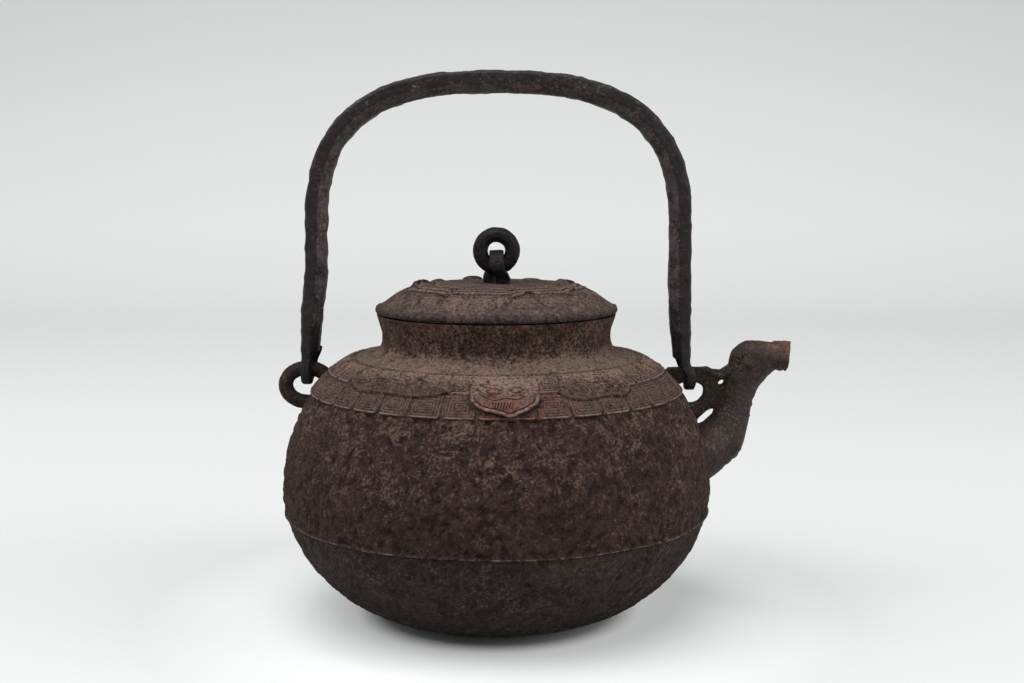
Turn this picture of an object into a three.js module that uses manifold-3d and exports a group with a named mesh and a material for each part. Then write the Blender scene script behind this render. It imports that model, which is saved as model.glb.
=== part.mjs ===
// A Japanese cast-iron kettle: body, cast-on spout and lugs, forged bail, lid with a ring knob.
// Millimetres, +Z up, origin at the centre of the flat base, spout towards +X, front towards -Y.
import * as THREE from 'three';
import { mergeVertices } from 'three/addons/utils/BufferGeometryUtils.js';
import Module from 'manifold-3d';

const wasm = await Module();
wasm.setup();

// Body: radii from the upright axis, heights above the base
const bellyRadius = 90.2;
const bellyHeight = 54;
const footRadius = 40;
const bowlEdgeRadius = 48.6;
const bowlEdgeHeight = 3.2;
const shoulderHeight = 110.3;
const neckRootRadius = 52;
const neckWaistRadius = 47.9;
const neckWaistRise = 8.1;
const mouthRadius = 50.1;
const mouthRise = 16.6;
const wall = 3.4;
const bowlFullness = { out: 1.47, down: 1.92 };
const shoulderFullness = { out: 2, up: 1.84 };
const mouthHeight = shoulderHeight + mouthRise;

// The raised seam line of the mould, the ornament band and the two mask shields
const seamHeight = 45;
const seamProud = 0.6;
const seamWidth = 2;
const bandInnerRadius = 58;
const bandOuterRadius = 77.6;
const bandProud = 0.7;
const shieldWidth = 27;
const shieldLength = 22;
const shieldDrop = 8.2;
const shieldProud = 2.2;
const shieldCorner = 3.5;
const shieldTurn = 2.6;

// Gaps between pieces
const castGap = 0.3;
const lidGap = 0.4;
const strapGap = 0.55;
const strapHoleGap = 0.35;
const eyeGap = 1.2;

// Lid
const lidRadius = 50.7;
const lidEdge = 2.6;
const lidRise = 11.5;
const lidThickness = 3;
const plateauRadius = 38.2;
const plateauStep = 1.4;
const plateauSides = 9;
const plateauJog = 0.8;
const flangeDepth = 5.5;
const flangeWall = 2.6;
const flangeClearance = 0.8;
const lidSeat = mouthHeight + lidGap;
const plateauHeight = lidSeat + lidRise;

// Ring knob and the forged strap that holds it
const ringRadius = 6.75;
const ringBar = 3.25;
const ringRise = 7.45;
const ringAxis = plateauHeight + ringRise;
const strapHalfWidth = 2.85;
const strapBack = 0.5;
const strapSplay = 2.7;
const clinchLength = 9;
const clinchThickness = 2.6;
const clinchDrop = 0.3;

// Bail: half widths to its outer face, left and right of the axis
const bailLeft = 79.8;
const bailRight = 81.4;
const bailFootSpread = 2.5;
const bailFootDepth = 7.4;
const bailFootChamfer = 3;
const bailRise = 67.3;
const bailSpringRise = 49.7;
const bailFullness = 2.65;
const bailDepth = 9.5;
const bailWidth = 13;
const bailChamfer = 3.8;
const bailCrown = 1;
const prongThickness = 2.6;
const prongHalfWidth = 2.3;
const bailSpring = shoulderHeight + bailSpringRise;

// Lugs: distance out from the belly's radius and drop below the shoulder
const leftLug = { out: -10.4, drop: 13.9, halfLong: 9.2, halfTall: 7.25, bar: 3.25 };
const rightLug = { out: -9, drop: 17.1, hole: 4.5, stretch: 1.5, topDrop: 6.2, thickness: 6.4 };
const rightBarHalf = 3.2;
const bracketChamfer = 1.6;
const smallHole = { out: 4.5, drop: 12.7, radius: 1.3 };
const slotHole = { out: -2, drop: 27.3, halfLength: 4.6, halfWidth: 1.7, rise: 42 };

// Spout: its upper and lower edge in side view and its half width, from root to mouth
const spoutWall = 2.9;
const spoutStations = [
  { topOut: -16.2, topDrop: 35.4, lowOut: -6.2, lowDrop: 57.4, half: 13.2 },
  { topOut: -6.2, topDrop: 32.9, lowOut: 0.3, lowDrop: 53.6, half: 12.6 },
  { topOut: -0.2, topDrop: 28.4, lowOut: 7.3, lowDrop: 47.8, half: 11.4 },
  { topOut: 3.3, topDrop: 23.9, lowOut: 13.3, lowDrop: 41.6, half: 9.8 },
  { topOut: 5.2, topDrop: 18.4, lowOut: 16.3, lowDrop: 30.4, half: 8 },
  { topOut: 6.4, topDrop: 12.4, lowOut: 18, lowDrop: 20.4, half: 7.2 },
  { topOut: 7.6, topDrop: 6.4, lowOut: 21, lowDrop: 13.2, half: 7.3 },
  { topOut: 9.4, topDrop: -0.2, lowOut: 24.4, lowDrop: 9.4, half: 8 },
  { topOut: 14, topDrop: -4.5, lowOut: 26.8, lowDrop: 7.4, half: 8.3 },
  { topOut: 19.8, topDrop: -5.1, lowOut: 28.1, lowDrop: 7.3, half: 7.6 },
  { topOut: 26.8, topDrop: -4.9, lowOut: 29.4, lowDrop: 7.9, half: 7.2 },
  { topOut: 33.7, topDrop: -4.9, lowOut: 32, lowDrop: 8.4, half: 7.6 },
];
const eyeBump = { out: 19, drop: -1.6, side: 5.9, radius: 2.6 };

const rounds = { body: 60, cavity: 44, lid: 48, ring: 26, bar: 10, spout: 16 };

const outAt = (out) => bellyRadius + out;
const heightAt = (drop) => shoulderHeight - drop;
const leftPivot = heightAt(leftLug.drop) + leftLug.halfTall;
const rightPivot = heightAt(rightLug.topDrop) - rightBarHalf + 0.2;

function toSolid(geometry) {
  const plain = geometry.clone();
  plain.deleteAttribute('normal');
  plain.deleteAttribute('uv');
  const merged = mergeVertices(plain, 1e-4);
  const vertProperties = new Float32Array(merged.attributes.position.array);
  const triVerts = new Uint32Array(merged.index.array);
  return new wasm.Manifold(new wasm.Mesh({ numProp: 3, vertProperties, triVerts }));
}

function toGeometry(solid) {
  const mesh = solid.getMesh();
  const geometry = new THREE.BufferGeometry();
  geometry.setAttribute('position', new THREE.BufferAttribute(new Float32Array(mesh.vertProperties), 3));
  geometry.setIndex(new THREE.BufferAttribute(new Uint32Array(mesh.triVerts), 1));
  geometry.computeVertexNormals();
  return geometry;
}

// A solid from a grid of points and its faces, turned inside out if its volume is negative
function solidFrom(positions, index) {
  const geometry = new THREE.BufferGeometry();
  geometry.setAttribute('position', new THREE.Float32BufferAttribute(positions, 3));
  geometry.setIndex(index);
  const solid = toSolid(geometry);
  if (solid.volume() > 0) return solid;
  const turnedOver = [];
  for (let i = 0; i < index.length; i += 3) turnedOver.push(index[i], index[i + 2], index[i + 1]);
  geometry.setIndex(turnedOver);
  return toSolid(geometry);
}

// A solid through a row of sections, each a list of the same number of points.
// It is capped at both ends, or joined end to start where it is a loop.
function loft(sections, loop = false) {
  const count = sections[0].length;
  const rows = sections.length;
  const positions = [];
  const index = [];
  for (const section of sections) {
    for (const point of section) positions.push(point.x, point.y, point.z);
  }
  for (let i = 0; i + 1 < rows + (loop ? 1 : 0); i += 1) {
    for (let j = 0; j < count; j += 1) {
      const side = (j + 1) % count;
      const here = i * count;
      const next = ((i + 1) % rows) * count;
      index.push(here + j, here + side, next + j, here + side, next + side, next + j);
    }
  }
  if (loop) return solidFrom(positions, index);
  for (const row of [0, rows - 1]) {
    const centre = new THREE.Vector3();
    for (const point of sections[row]) centre.addScaledVector(point, 1 / count);
    const middle = positions.length / 3;
    positions.push(centre.x, centre.y, centre.z);
    for (let j = 0; j < count; j += 1) {
      const a = row * count + j;
      const b = row * count + ((j + 1) % count);
      if (row === 0) index.push(middle, b, a);
      else index.push(middle, a, b);
    }
  }
  return solidFrom(positions, index);
}

// A profile of [radius, height] points turned about the kettle's upright axis
function turned(profile, segments) {
  const points = profile.map(([radius, height]) => new THREE.Vector2(radius, height));
  const build = (line) => {
    const geometry = new THREE.LatheGeometry(line, segments);
    geometry.rotateX(Math.PI / 2);
    return toSolid(geometry);
  };
  const solid = build(points);
  return solid.volume() > 0 ? solid : build(points.reverse());
}

// Body outline: a bowl, a shoulder and a waisted neck. Grow moves it out along its normal.
function bodyOutline(grow, steps = { bowl: 9, shoulder: 12, neck: 6 }) {
  const line = [];
  for (let i = 0; i <= steps.bowl; i += 1) {
    const angle = (Math.PI / 2) * (1 - i / steps.bowl);
    const reach = Math.pow(Math.cos(angle), 2 / bowlFullness.out);
    const drop = Math.pow(Math.sin(angle), 2 / bowlFullness.down);
    const radius = bowlEdgeRadius + (bellyRadius - bowlEdgeRadius) * reach;
    line.push([radius, bellyHeight - (bellyHeight - bowlEdgeHeight) * drop]);
  }
  for (let i = 1; i <= steps.shoulder; i += 1) {
    const angle = (Math.PI / 2) * (i / steps.shoulder);
    const reach = Math.pow(Math.cos(angle), 2 / shoulderFullness.out);
    const rise = Math.pow(Math.sin(angle), 2 / shoulderFullness.up);
    const radius = neckRootRadius + (bellyRadius - neckRootRadius) * reach;
    line.push([radius, bellyHeight + (shoulderHeight - bellyHeight) * rise]);
  }
  const neck = new THREE.CatmullRomCurve3([
    new THREE.Vector3(neckRootRadius, 0, shoulderHeight),
    new THREE.Vector3(neckWaistRadius + 1, 0, shoulderHeight + neckWaistRise * 0.35),
    new THREE.Vector3(neckWaistRadius, 0, shoulderHeight + neckWaistRise),
    new THREE.Vector3(mouthRadius - 0.7, 0, mouthHeight - (mouthRise - neckWaistRise) * 0.3),
    new THREE.Vector3(mouthRadius, 0, mouthHeight),
  ]);
  for (const point of neck.getPoints(steps.neck).slice(1)) line.push([point.x, point.z]);
  if (grow === 0) return line;
  return line.map(([radius, height], i) => {
    const [r0, z0] = line[Math.max(i - 1, 0)];
    const [r1, z1] = line[Math.min(i + 1, line.length - 1)];
    const length = Math.hypot(r1 - r0, z1 - z0);
    return [radius + ((z1 - z0) / length) * grow, height - ((r1 - r0) / length) * grow];
  });
}

// The plain body, filled in, that the spout and the lugs are cut to fit
function bodyBlank(grow) {
  const line = bodyOutline(grow);
  const [, low] = line[0];
  const [, high] = line[line.length - 1];
  return turned([[0, low], ...line, [0, high]], rounds.body);
}

// The outline with the seam ridge and the raised band on it
function decoratedOutline() {
  const plain = bodyOutline(0);
  const proud = bodyOutline(bandProud);
  const between = (outline, i, share) => {
    const [[r0, z0], [r1, z1]] = [outline[i - 1], outline[i]];
    return [r0 + (r1 - r0) * share, z0 + (z1 - z0) * share];
  };
  const bandEdges = [[bandOuterRadius, [plain, proud]], [bandInnerRadius, [proud, plain]]];
  const line = [[footRadius, 0], plain[0]];
  for (let i = 1; i < plain.length; i += 1) {
    const [radius, height] = plain[i];
    const [lastRadius, lastHeight] = plain[i - 1];
    if (lastHeight < seamHeight && height > seamHeight) {
      const [seamRadius] = between(plain, i, (seamHeight - lastHeight) / (height - lastHeight));
      line.push([seamRadius - seamProud * 0.6, seamHeight - seamWidth / 2]);
      line.push([seamRadius + seamProud, seamHeight]);
      line.push([seamRadius + seamProud * 0.4, seamHeight + seamWidth / 2]);
    }
    const onShoulder = height > bellyHeight;
    for (const [edge, steps] of bandEdges) {
      const share = (lastRadius - edge) / (lastRadius - radius);
      const crosses = onShoulder && lastRadius > edge && radius <= edge;
      if (crosses) line.push(...steps.map((outline) => between(outline, i, share)));
    }
    const onBand = onShoulder && radius < bandOuterRadius && radius > bandInnerRadius;
    line.push(onBand ? proud[i] : [radius, height]);
  }
  return line;
}

function makeCavity() {
  const floor = wall + bowlEdgeHeight * 0.2;
  const inner = bodyOutline(-wall, { bowl: 6, shoulder: 8, neck: 4 });
  const line = inner.filter(([, height]) => height > floor + 1);
  const above = mouthHeight + wall;
  const [inside] = line.at(-1);
  return turned([[0, floor], [footRadius, floor], ...line, [inside, above], [0, above]], rounds.cavity);
}

// A solid along the spout's stations, shrunk by the wall for its channel
function spoutSolid(shrink) {
  const edge = (out, drop) => new THREE.CatmullRomCurve3(
    spoutStations.map((station) => new THREE.Vector3(outAt(station[out]), 0, heightAt(station[drop]))),
  );
  const upper = edge('topOut', 'topDrop');
  const lower = edge('lowOut', 'lowDrop');
  const halves = spoutStations.map(({ half }, i) => new THREE.Vector3(half, i, 0));
  const widths = new THREE.CatmullRomCurve3(halves);
  const steps = 22;
  const sections = [];
  for (let i = 0; i <= steps; i += 1) {
    const share = i / steps;
    const top = upper.getPoint(share);
    const bottom = lower.getPoint(share);
    const half = top.clone().sub(bottom).multiplyScalar(0.5);
    const middle = top.clone().add(bottom).multiplyScalar(0.5);
    const tall = half.clone().setLength(half.length() - shrink);
    const wide = widths.getPoint(share).x - shrink;
    const section = [];
    for (let j = 0; j < rounds.spout; j += 1) {
      const angle = (2 * Math.PI * j) / rounds.spout;
      const point = middle.clone().addScaledVector(tall, Math.sin(angle));
      point.y += wide * Math.cos(angle);
      section.push(point);
    }
    sections.push(section);
  }
  if (shrink > 0) {
    const inward = new THREE.Vector3(-2 * spoutWall, 0, -spoutWall);
    const outward = new THREE.Vector3(spoutWall, 0, 0);
    sections.unshift(sections[0].map((point) => point.clone().add(inward)));
    sections.push(sections.at(-1).map((point) => point.clone().add(outward)));
  }
  return loft(sections);
}

const cavity = makeCavity();
const channel = spoutSolid(spoutWall);
const seatForLugs = bodyBlank(bandProud + castGap);
const seatForSpout = bodyBlank(castGap);

// The mask shield's outline, drawn flat about its own middle with the tip down
function shieldShape() {
  const half = shieldWidth / 2;
  const high = shieldLength / 2;
  const low = -high;
  const cheek = low + shieldLength * 0.45;
  const shape = new THREE.Shape();
  shape.moveTo(0, low);
  shape.bezierCurveTo(half * 0.5, low + 1.2, half * 0.9, cheek - shieldCorner, half, cheek);
  shape.lineTo(half, high - shieldCorner);
  shape.quadraticCurveTo(half, high, half - shieldCorner, high);
  shape.lineTo(shieldCorner - half, high);
  shape.quadraticCurveTo(-half, high, -half, high - shieldCorner);
  shape.lineTo(-half, cheek);
  shape.bezierCurveTo(-half * 0.9, cheek - shieldCorner, -half * 0.5, low + 1.2, 0, low);
  return shape;
}

// A mask shield square to the slope of the shoulder, sunk through the wall and as proud as its skin
function shieldSolid(turn) {
  const outline = bodyOutline(0);
  const height = heightAt(shieldDrop);
  const above = outline.findIndex(([, z]) => z > height);
  const [[r0, z0], [r1, z1]] = [outline[above - 1], outline[above]];
  const radius = r0 + ((r1 - r0) * (height - z0)) / (z1 - z0);
  const slope = Math.atan2(r0 - r1, z1 - z0);
  const depth = wall + 2 * shieldProud;
  const options = { depth, bevelEnabled: false, curveSegments: 5 };
  const geometry = new THREE.ExtrudeGeometry(shieldShape(), options);
  geometry.translate(0, 0, -wall);
  geometry.rotateX(Math.PI / 2 - slope);
  geometry.translate(0, -radius, height);
  geometry.rotateZ(THREE.MathUtils.degToRad(turn));
  return toSolid(geometry).intersect(bodyBlank(shieldProud));
}

function makeBody() {
  let solid = turned([[0, 0], ...decoratedOutline(), [0, mouthHeight]], rounds.body);
  for (const turn of [shieldTurn, 180 + shieldTurn]) solid = solid.add(shieldSolid(turn));
  return solid.subtract(cavity).subtract(channel);
}

function makeSpout() {
  let solid = spoutSolid(0);
  for (const side of [-1, 1]) {
    const eye = new THREE.SphereGeometry(eyeBump.radius, 10, 8);
    eye.translate(outAt(eyeBump.out), side * eyeBump.side, heightAt(eyeBump.drop));
    solid = solid.add(toSolid(eye));
  }
  return solid.subtract(seatForSpout).subtract(channel);
}

// A bent bar, half sunk in the shoulder, that makes the left lug
function makeLeftLug() {
  const centre = new THREE.Vector3(-outAt(leftLug.out), 0, heightAt(leftLug.drop));
  const sections = [];
  for (let i = 0; i < rounds.ring; i += 1) {
    const angle = (2 * Math.PI * i) / rounds.ring;
    const { halfLong, halfTall } = leftLug;
    const offset = new THREE.Vector3(halfLong * Math.cos(angle), 0, halfTall * Math.sin(angle));
    const middle = centre.clone().add(offset);
    const out = new THREE.Vector3(halfTall * Math.cos(angle), 0, halfLong * Math.sin(angle)).normalize();
    const section = [];
    for (let j = 0; j < rounds.bar; j += 1) {
      const turn = (2 * Math.PI * j) / rounds.bar;
      const point = middle.clone().addScaledVector(out, leftLug.bar * Math.cos(turn));
      point.y += leftLug.bar * Math.sin(turn);
      section.push(point);
    }
    sections.push(section);
  }
  return loft(sections, true).subtract(seatForLugs);
}

// A hole through the bracket with both mouths eased, stretched and tilted for the slot
function bracketHole(place, radius, stretch, rise) {
  const face = rightLug.thickness / 2;
  const far = face + bracketChamfer;
  const touch = 0.01;
  const profile = [
    [0, -far],
    [radius + bracketChamfer, -far],
    [radius + bracketChamfer, -face - touch],
    [radius, bracketChamfer - face],
    [radius, face - bracketChamfer],
    [radius + bracketChamfer, face + touch],
    [radius + bracketChamfer, far],
    [0, far],
  ];
  const points = profile.map(([distance, side]) => new THREE.Vector2(distance, side));
  const geometry = new THREE.LatheGeometry(points, rounds.spout);
  geometry.scale(stretch, 1, 1);
  geometry.rotateY(THREE.MathUtils.degToRad(-rise));
  geometry.translate(outAt(place.out), 0, heightAt(place.drop));
  return toSolid(geometry);
}

// The pierced bracket that ties the shoulder to the spout's neck and carries the bail's right eye
function makeRightLug() {
  const outline = [
    { out: -20, drop: 14 },
    { out: -18, drop: rightLug.topDrop },
    { out: -1.6, drop: rightLug.topDrop - 0.2 },
    { out: 1, drop: rightLug.topDrop + 1 },
    { out: 4.5, drop: rightLug.topDrop + 1.4 },
    { out: 7.6, drop: rightLug.topDrop - 0.6 },
    { out: 10, drop: rightLug.topDrop - 3 },
    { out: 11, drop: 18 },
    { out: 9, drop: 34 },
    { out: -6, drop: 42 },
    { out: -18, drop: 38 },
  ];
  const corners = outline.map(({ out, drop }) => new THREE.Vector2(outAt(out), heightAt(drop)));
  const shape = new THREE.Shape(corners);
  const depth = rightLug.thickness - 2 * bracketChamfer;
  const geometry = new THREE.ExtrudeGeometry(shape, {
    depth,
    bevelThickness: bracketChamfer,
    bevelSize: bracketChamfer,
    bevelOffset: -bracketChamfer,
    bevelSegments: 1,
  });
  geometry.translate(0, 0, -depth / 2);
  geometry.rotateX(Math.PI / 2);
  let solid = toSolid(geometry);
  solid = solid.subtract(bracketHole(rightLug, rightLug.hole, rightLug.stretch, 0));
  solid = solid.subtract(bracketHole(smallHole, smallHole.radius, 1, 0));
  const slotStretch = slotHole.halfLength / slotHole.halfWidth;
  solid = solid.subtract(bracketHole(slotHole, slotHole.halfWidth, slotStretch, slotHole.rise));
  solid = solid.subtract(seatForLugs).subtract(spoutSolid(-castGap));
  return solid.decompose().sort((a, b) => b.volume() - a.volume())[0];
}

// One section of the bail: crowned outside, flat sides, two chamfers and a narrow inner face
function bailSection(origin, inward, depth, width, chamfer) {
  const half = width / 2;
  const outline = [
    [0, half - 3.5 * bailCrown],
    [bailCrown, half],
    [depth - chamfer, half],
    [depth, half - chamfer],
    [depth, chamfer - half],
    [depth - chamfer, -half],
    [bailCrown, -half],
    [0, 3.5 * bailCrown - half],
  ];
  return outline.map(([inset, side]) => {
    const point = origin.clone().addScaledVector(inward, inset);
    point.y += side;
    return point;
  });
}

// The eye: a flat prong that runs down in front of the lug's bar, under it and up behind it
function eyeSolid(side, pivot, barHalf, places) {
  const reach = barHalf + eyeGap + prongThickness / 2;
  const top = reach + prongThickness;
  const half = bailWidth / 2 - prongThickness / 2;
  const route = [
    [places.front, -half, top + 1],
    [places.front, -half, reach * 0.75],
    [places.level, -reach, 0],
    [(places.level + places.bottom) / 2, -reach * 0.8, -reach * 0.78],
    [places.bottom, 0, -reach],
    [(places.level + places.bottom) / 2, reach * 0.8, -reach * 0.78],
    [places.level - 0.8, reach, 0],
    [(places.level + places.rear) / 2 - 0.5, half, reach * 0.75],
    [places.rear, half, top + 1],
  ];
  const path = new THREE.CatmullRomCurve3(
    route.map(([out, y, z]) => new THREE.Vector3(side * out, y, pivot + z)),
    false,
    'centripetal',
  );
  const steps = 22;
  const sections = [];
  for (let i = 0; i <= steps; i += 1) {
    const middle = path.getPointAt(i / steps);
    const along = path.getTangentAt(i / steps);
    const across = new THREE.Vector3(1, 0, 0).addScaledVector(along, -along.x).normalize();
    const out = new THREE.Vector3().crossVectors(along, across);
    const thick = prongThickness / 2;
    const wide = prongHalfWidth;
    const corner = 0.7;
    const outline = [
      [wide, thick - corner],
      [wide - corner, thick],
      [corner - wide, thick],
      [-wide, thick - corner],
      [-wide, corner - thick],
      [corner - wide, -thick],
      [wide - corner, -thick],
      [wide, corner - thick],
    ];
    const place = ([u, v]) => middle.clone().addScaledVector(across, u).addScaledVector(out, v);
    sections.push(outline.map(place));
  }
  return loft(sections);
}

function makeHandle() {
  const archSteps = 36;
  const sections = [];
  const legFoot = (side, pivot, halfWidth, spread) => {
    const inward = new THREE.Vector3(-side, 0, 0);
    const foot = pivot + rightBarHalf + eyeGap + prongThickness - 0.4;
    const knee = foot + (bailSpring - foot) * 0.4;
    const thigh = foot + (bailSpring - foot) * 0.68;
    const at = (share, height) => new THREE.Vector3(side * (halfWidth + spread * share), 0, height);
    return [
      bailSection(at(1, foot), inward, bailFootDepth, bailWidth, bailFootChamfer),
      bailSection(at(0.8, knee), inward, bailDepth, bailWidth, bailChamfer),
      bailSection(at(0.15, thigh), inward, bailDepth, bailWidth, bailChamfer),
    ];
  };
  sections.push(...legFoot(-1, leftPivot, bailLeft, bailFootSpread));
  for (let i = 0; i <= archSteps; i += 1) {
    const angle = Math.PI * (1 - i / archSteps);
    const cos = Math.cos(angle);
    const sin = Math.sin(angle);
    const halfWidth = cos < 0 ? bailLeft : bailRight;
    const share = Math.pow(Math.abs(cos), 2 / bailFullness);
    const rise = Math.pow(sin, 2 / bailFullness);
    const origin = new THREE.Vector3(Math.sign(cos) * halfWidth * share, 0, bailSpring + bailRise * rise);
    const slopeX = (Math.sign(cos) * Math.pow(share, bailFullness - 1)) / halfWidth;
    const slopeZ = Math.pow(rise, bailFullness - 1) / bailRise;
    const inward = new THREE.Vector3(-slopeX, 0, -slopeZ).normalize();
    sections.push(bailSection(origin, inward, bailDepth, bailWidth, bailChamfer));
  }
  sections.push(...legFoot(1, rightPivot, bailRight, 0.3).reverse());
  const leftEye = -outAt(leftLug.out);
  const rightEye = outAt(rightLug.out);
  const leftPlaces = { front: bailLeft - 0.4, level: -leftEye, bottom: -leftEye, rear: bailLeft - 4.1 };
  const rightPlaces = {
    front: bailRight - 2.3,
    level: rightEye + 0.2,
    bottom: rightEye,
    rear: bailRight - 4.4,
  };
  return loft(sections)
    .add(eyeSolid(-1, leftPivot, leftLug.bar, leftPlaces))
    .add(eyeSolid(1, rightPivot, rightBarHalf, rightPlaces));
}

// The lid's top plate: a polygon whose sides step in and out like overlapping plates
function plateauPlate(base) {
  const shape = new THREE.Shape();
  const sector = (2 * Math.PI) / plateauSides;
  const apothem = Math.cos(sector / 2);
  for (let i = 0; i < plateauSides; i += 1) {
    const radius = plateauRadius + (i % 2 ? plateauJog : -plateauJog);
    for (const end of [0.04, 0.96]) {
      const angle = sector * (i + end);
      const reach = (radius * apothem) / Math.cos(sector * (end - 0.5));
      const place = [reach * Math.cos(angle), reach * Math.sin(angle)];
      if (i === 0 && end < 0.5) shape.moveTo(...place);
      else shape.lineTo(...place);
    }
  }
  shape.closePath();
  const geometry = new THREE.ExtrudeGeometry(shape, { depth: plateauHeight - base, bevelEnabled: false });
  geometry.translate(0, 0, base);
  return toSolid(geometry);
}

function makeLid() {
  const edgeTop = lidSeat + lidEdge;
  const stepHeight = plateauHeight - plateauStep;
  const flange = neckWaistRadius - wall - flangeClearance;
  const flangeInner = flange - flangeWall;
  const ceiling = plateauHeight - lidThickness;
  const slope = (stepHeight - edgeTop) / (lidRadius - plateauRadius);
  const profile = [
    [0, plateauHeight - plateauStep / 2],
    [plateauRadius - 2 * plateauStep, stepHeight + plateauStep * 0.4],
    [plateauRadius, stepHeight],
    [lidRadius - 4, stepHeight - slope * (lidRadius - 4 - plateauRadius) + 0.5],
    [lidRadius - 0.9, edgeTop],
    [lidRadius, lidSeat + lidEdge * 0.55],
    [lidRadius - 0.3, lidSeat + lidEdge * 0.12],
    [lidRadius - 0.9, lidSeat],
    [flange + 0.2, lidSeat],
    [flange, lidSeat - flangeDepth],
    [flangeInner, lidSeat - flangeDepth],
    [flangeInner, lidSeat + lidThickness * 0.3],
    [plateauRadius - lidThickness, ceiling - 0.6],
    [0, ceiling],
  ];
  let solid = turned(profile, rounds.lid).add(plateauPlate(stepHeight - 1));
  for (const side of [-1, 1]) solid = solid.subtract(strapLeg(side, strapHoleGap));
  return solid;
}

// Half of the strap, from the top of its loop down through the lid
function strapLeg(side, grow) {
  const reach = ringBar + strapGap + strapHalfWidth;
  const foot = lidThickness + clinchThickness + clinchDrop;
  const path = [];
  const bends = 8;
  for (let i = 0; i <= bends; i += 1) {
    const angle = (Math.PI / 2) * (i / bends);
    const lean = 0.3 * Math.pow(i / bends, 2);
    path.push([lean, reach * Math.sin(angle), reach * Math.cos(angle)]);
  }
  path.push([strapSplay * 0.3, reach - 0.2, -ringRise * 0.16]);
  path.push([strapSplay * 0.8, reach - 0.9, -ringRise * 0.36]);
  path.push([strapSplay, reach - 1.8, -ringRise * 0.6]);
  path.push([strapSplay, reach - 2.1, -ringRise * 0.85]);
  path.push([strapSplay, reach - 2.1, -ringRise - foot]);
  const points = path.map(([x, y, z]) => new THREE.Vector3(-side * x, side * y, ringAxis + z));
  const half = strapHalfWidth + grow;
  const across = new THREE.Vector3(1, 0, 0);
  const sections = points.map((point, i) => {
    const before = points[Math.max(i - 1, 0)];
    const after = points[Math.min(i + 1, points.length - 1)];
    const along = i === 0 ? new THREE.Vector3(0, side, 0) : after.clone().sub(before).setX(0).normalize();
    const out = new THREE.Vector3().crossVectors(along, across).multiplyScalar(-side);
    const section = [];
    const arc = 6;
    for (let k = 0; k <= arc; k += 1) {
      const angle = Math.PI + (Math.PI * k) / arc;
      const place = point.clone().addScaledVector(across, half * Math.cos(angle));
      section.push(place.addScaledVector(out, half * Math.sin(angle)));
    }
    for (const edge of [1, -1]) {
      const corner = point.clone().addScaledVector(across, edge * (half - strapBack));
      section.push(corner.addScaledVector(out, strapBack + grow));
    }
    return section;
  });
  return loft(sections);
}

function makeStrap() {
  const reach = ringBar + strapGap + strapHalfWidth;
  let solid = strapLeg(-1, 0).add(strapLeg(1, 0));
  const ceiling = plateauHeight - lidThickness;
  for (const side of [-1, 1]) {
    const tab = new THREE.BoxGeometry(2 * strapHalfWidth - 0.4, clinchLength, clinchThickness);
    const start = reach - 2.1 - strapHalfWidth + clinchDrop;
    const height = ceiling - 0.6 - clinchDrop - clinchThickness / 2;
    tab.translate(-side * strapSplay, side * (start + clinchLength / 2), height);
    solid = solid.add(toSolid(tab));
  }
  return solid;
}

function makeRing() {
  const torus = new THREE.TorusGeometry(ringRadius, ringBar, rounds.bar, rounds.ring);
  torus.rotateX(Math.PI / 2);
  torus.translate(0, 0, ringAxis + ringRadius);
  return toSolid(torus);
}

const iron = (color, roughness) => new THREE.MeshStandardMaterial({ color, roughness, metalness: 0.4 });
const pieces = [
  ['body', makeBody(), iron(0x3a2d27, 0.9)],
  ['spout', makeSpout(), iron(0x49362d, 0.85)],
  ['left_lug', makeLeftLug(), iron(0x3d332f, 0.8)],
  ['right_lug', makeRightLug(), iron(0x42352e, 0.85)],
  ['handle', makeHandle(), iron(0x2d2426, 0.7)],
  ['lid', makeLid(), iron(0x43362f, 0.9)],
  ['knob_strap', makeStrap(), iron(0x28241f, 0.6)],
  ['knob_ring', makeRing(), iron(0x211c1f, 0.55)],
];

const group = new THREE.Group();
for (const [name, solid, material] of pieces) {
  const mesh = new THREE.Mesh(toGeometry(solid), material);
  mesh.name = name;
  group.add(mesh);
}

export default group;
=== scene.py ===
import math

import bmesh
import bpy
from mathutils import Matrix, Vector, noise


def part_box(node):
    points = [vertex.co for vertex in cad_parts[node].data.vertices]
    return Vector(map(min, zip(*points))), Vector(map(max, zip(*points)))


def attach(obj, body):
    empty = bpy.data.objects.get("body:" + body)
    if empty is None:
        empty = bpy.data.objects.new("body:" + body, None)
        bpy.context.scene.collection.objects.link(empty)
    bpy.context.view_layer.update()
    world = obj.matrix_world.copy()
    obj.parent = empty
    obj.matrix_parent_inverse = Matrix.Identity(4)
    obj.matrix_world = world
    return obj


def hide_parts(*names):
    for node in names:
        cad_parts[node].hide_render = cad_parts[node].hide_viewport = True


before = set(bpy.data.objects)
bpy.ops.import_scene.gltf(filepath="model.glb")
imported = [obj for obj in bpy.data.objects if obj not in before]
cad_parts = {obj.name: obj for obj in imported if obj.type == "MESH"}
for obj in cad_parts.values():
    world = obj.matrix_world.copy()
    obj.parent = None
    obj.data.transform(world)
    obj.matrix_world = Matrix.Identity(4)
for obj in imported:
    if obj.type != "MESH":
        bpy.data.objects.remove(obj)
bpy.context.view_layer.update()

MM = 0.001

# Camera, fitted to the photograph
CAMERA_PLACE = (0.0065, -0.5853, 0.1848)
CAMERA_DOWN = 6.82
FOCAL_LENGTH = 49.22
SENSOR_WIDTH = 36

# Sizes that the frame gives, in millimetres
BELLY_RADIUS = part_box("body")[1][1] / MM
MOUTH_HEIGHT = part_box("body")[1][2] / MM
LID_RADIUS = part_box("lid")[1][1] / MM
LID_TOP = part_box("lid")[1][2] / MM
SPOUT_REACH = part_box("spout")[1][0] / MM
HANDLE_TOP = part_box("handle")[1][2] / MM

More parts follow.
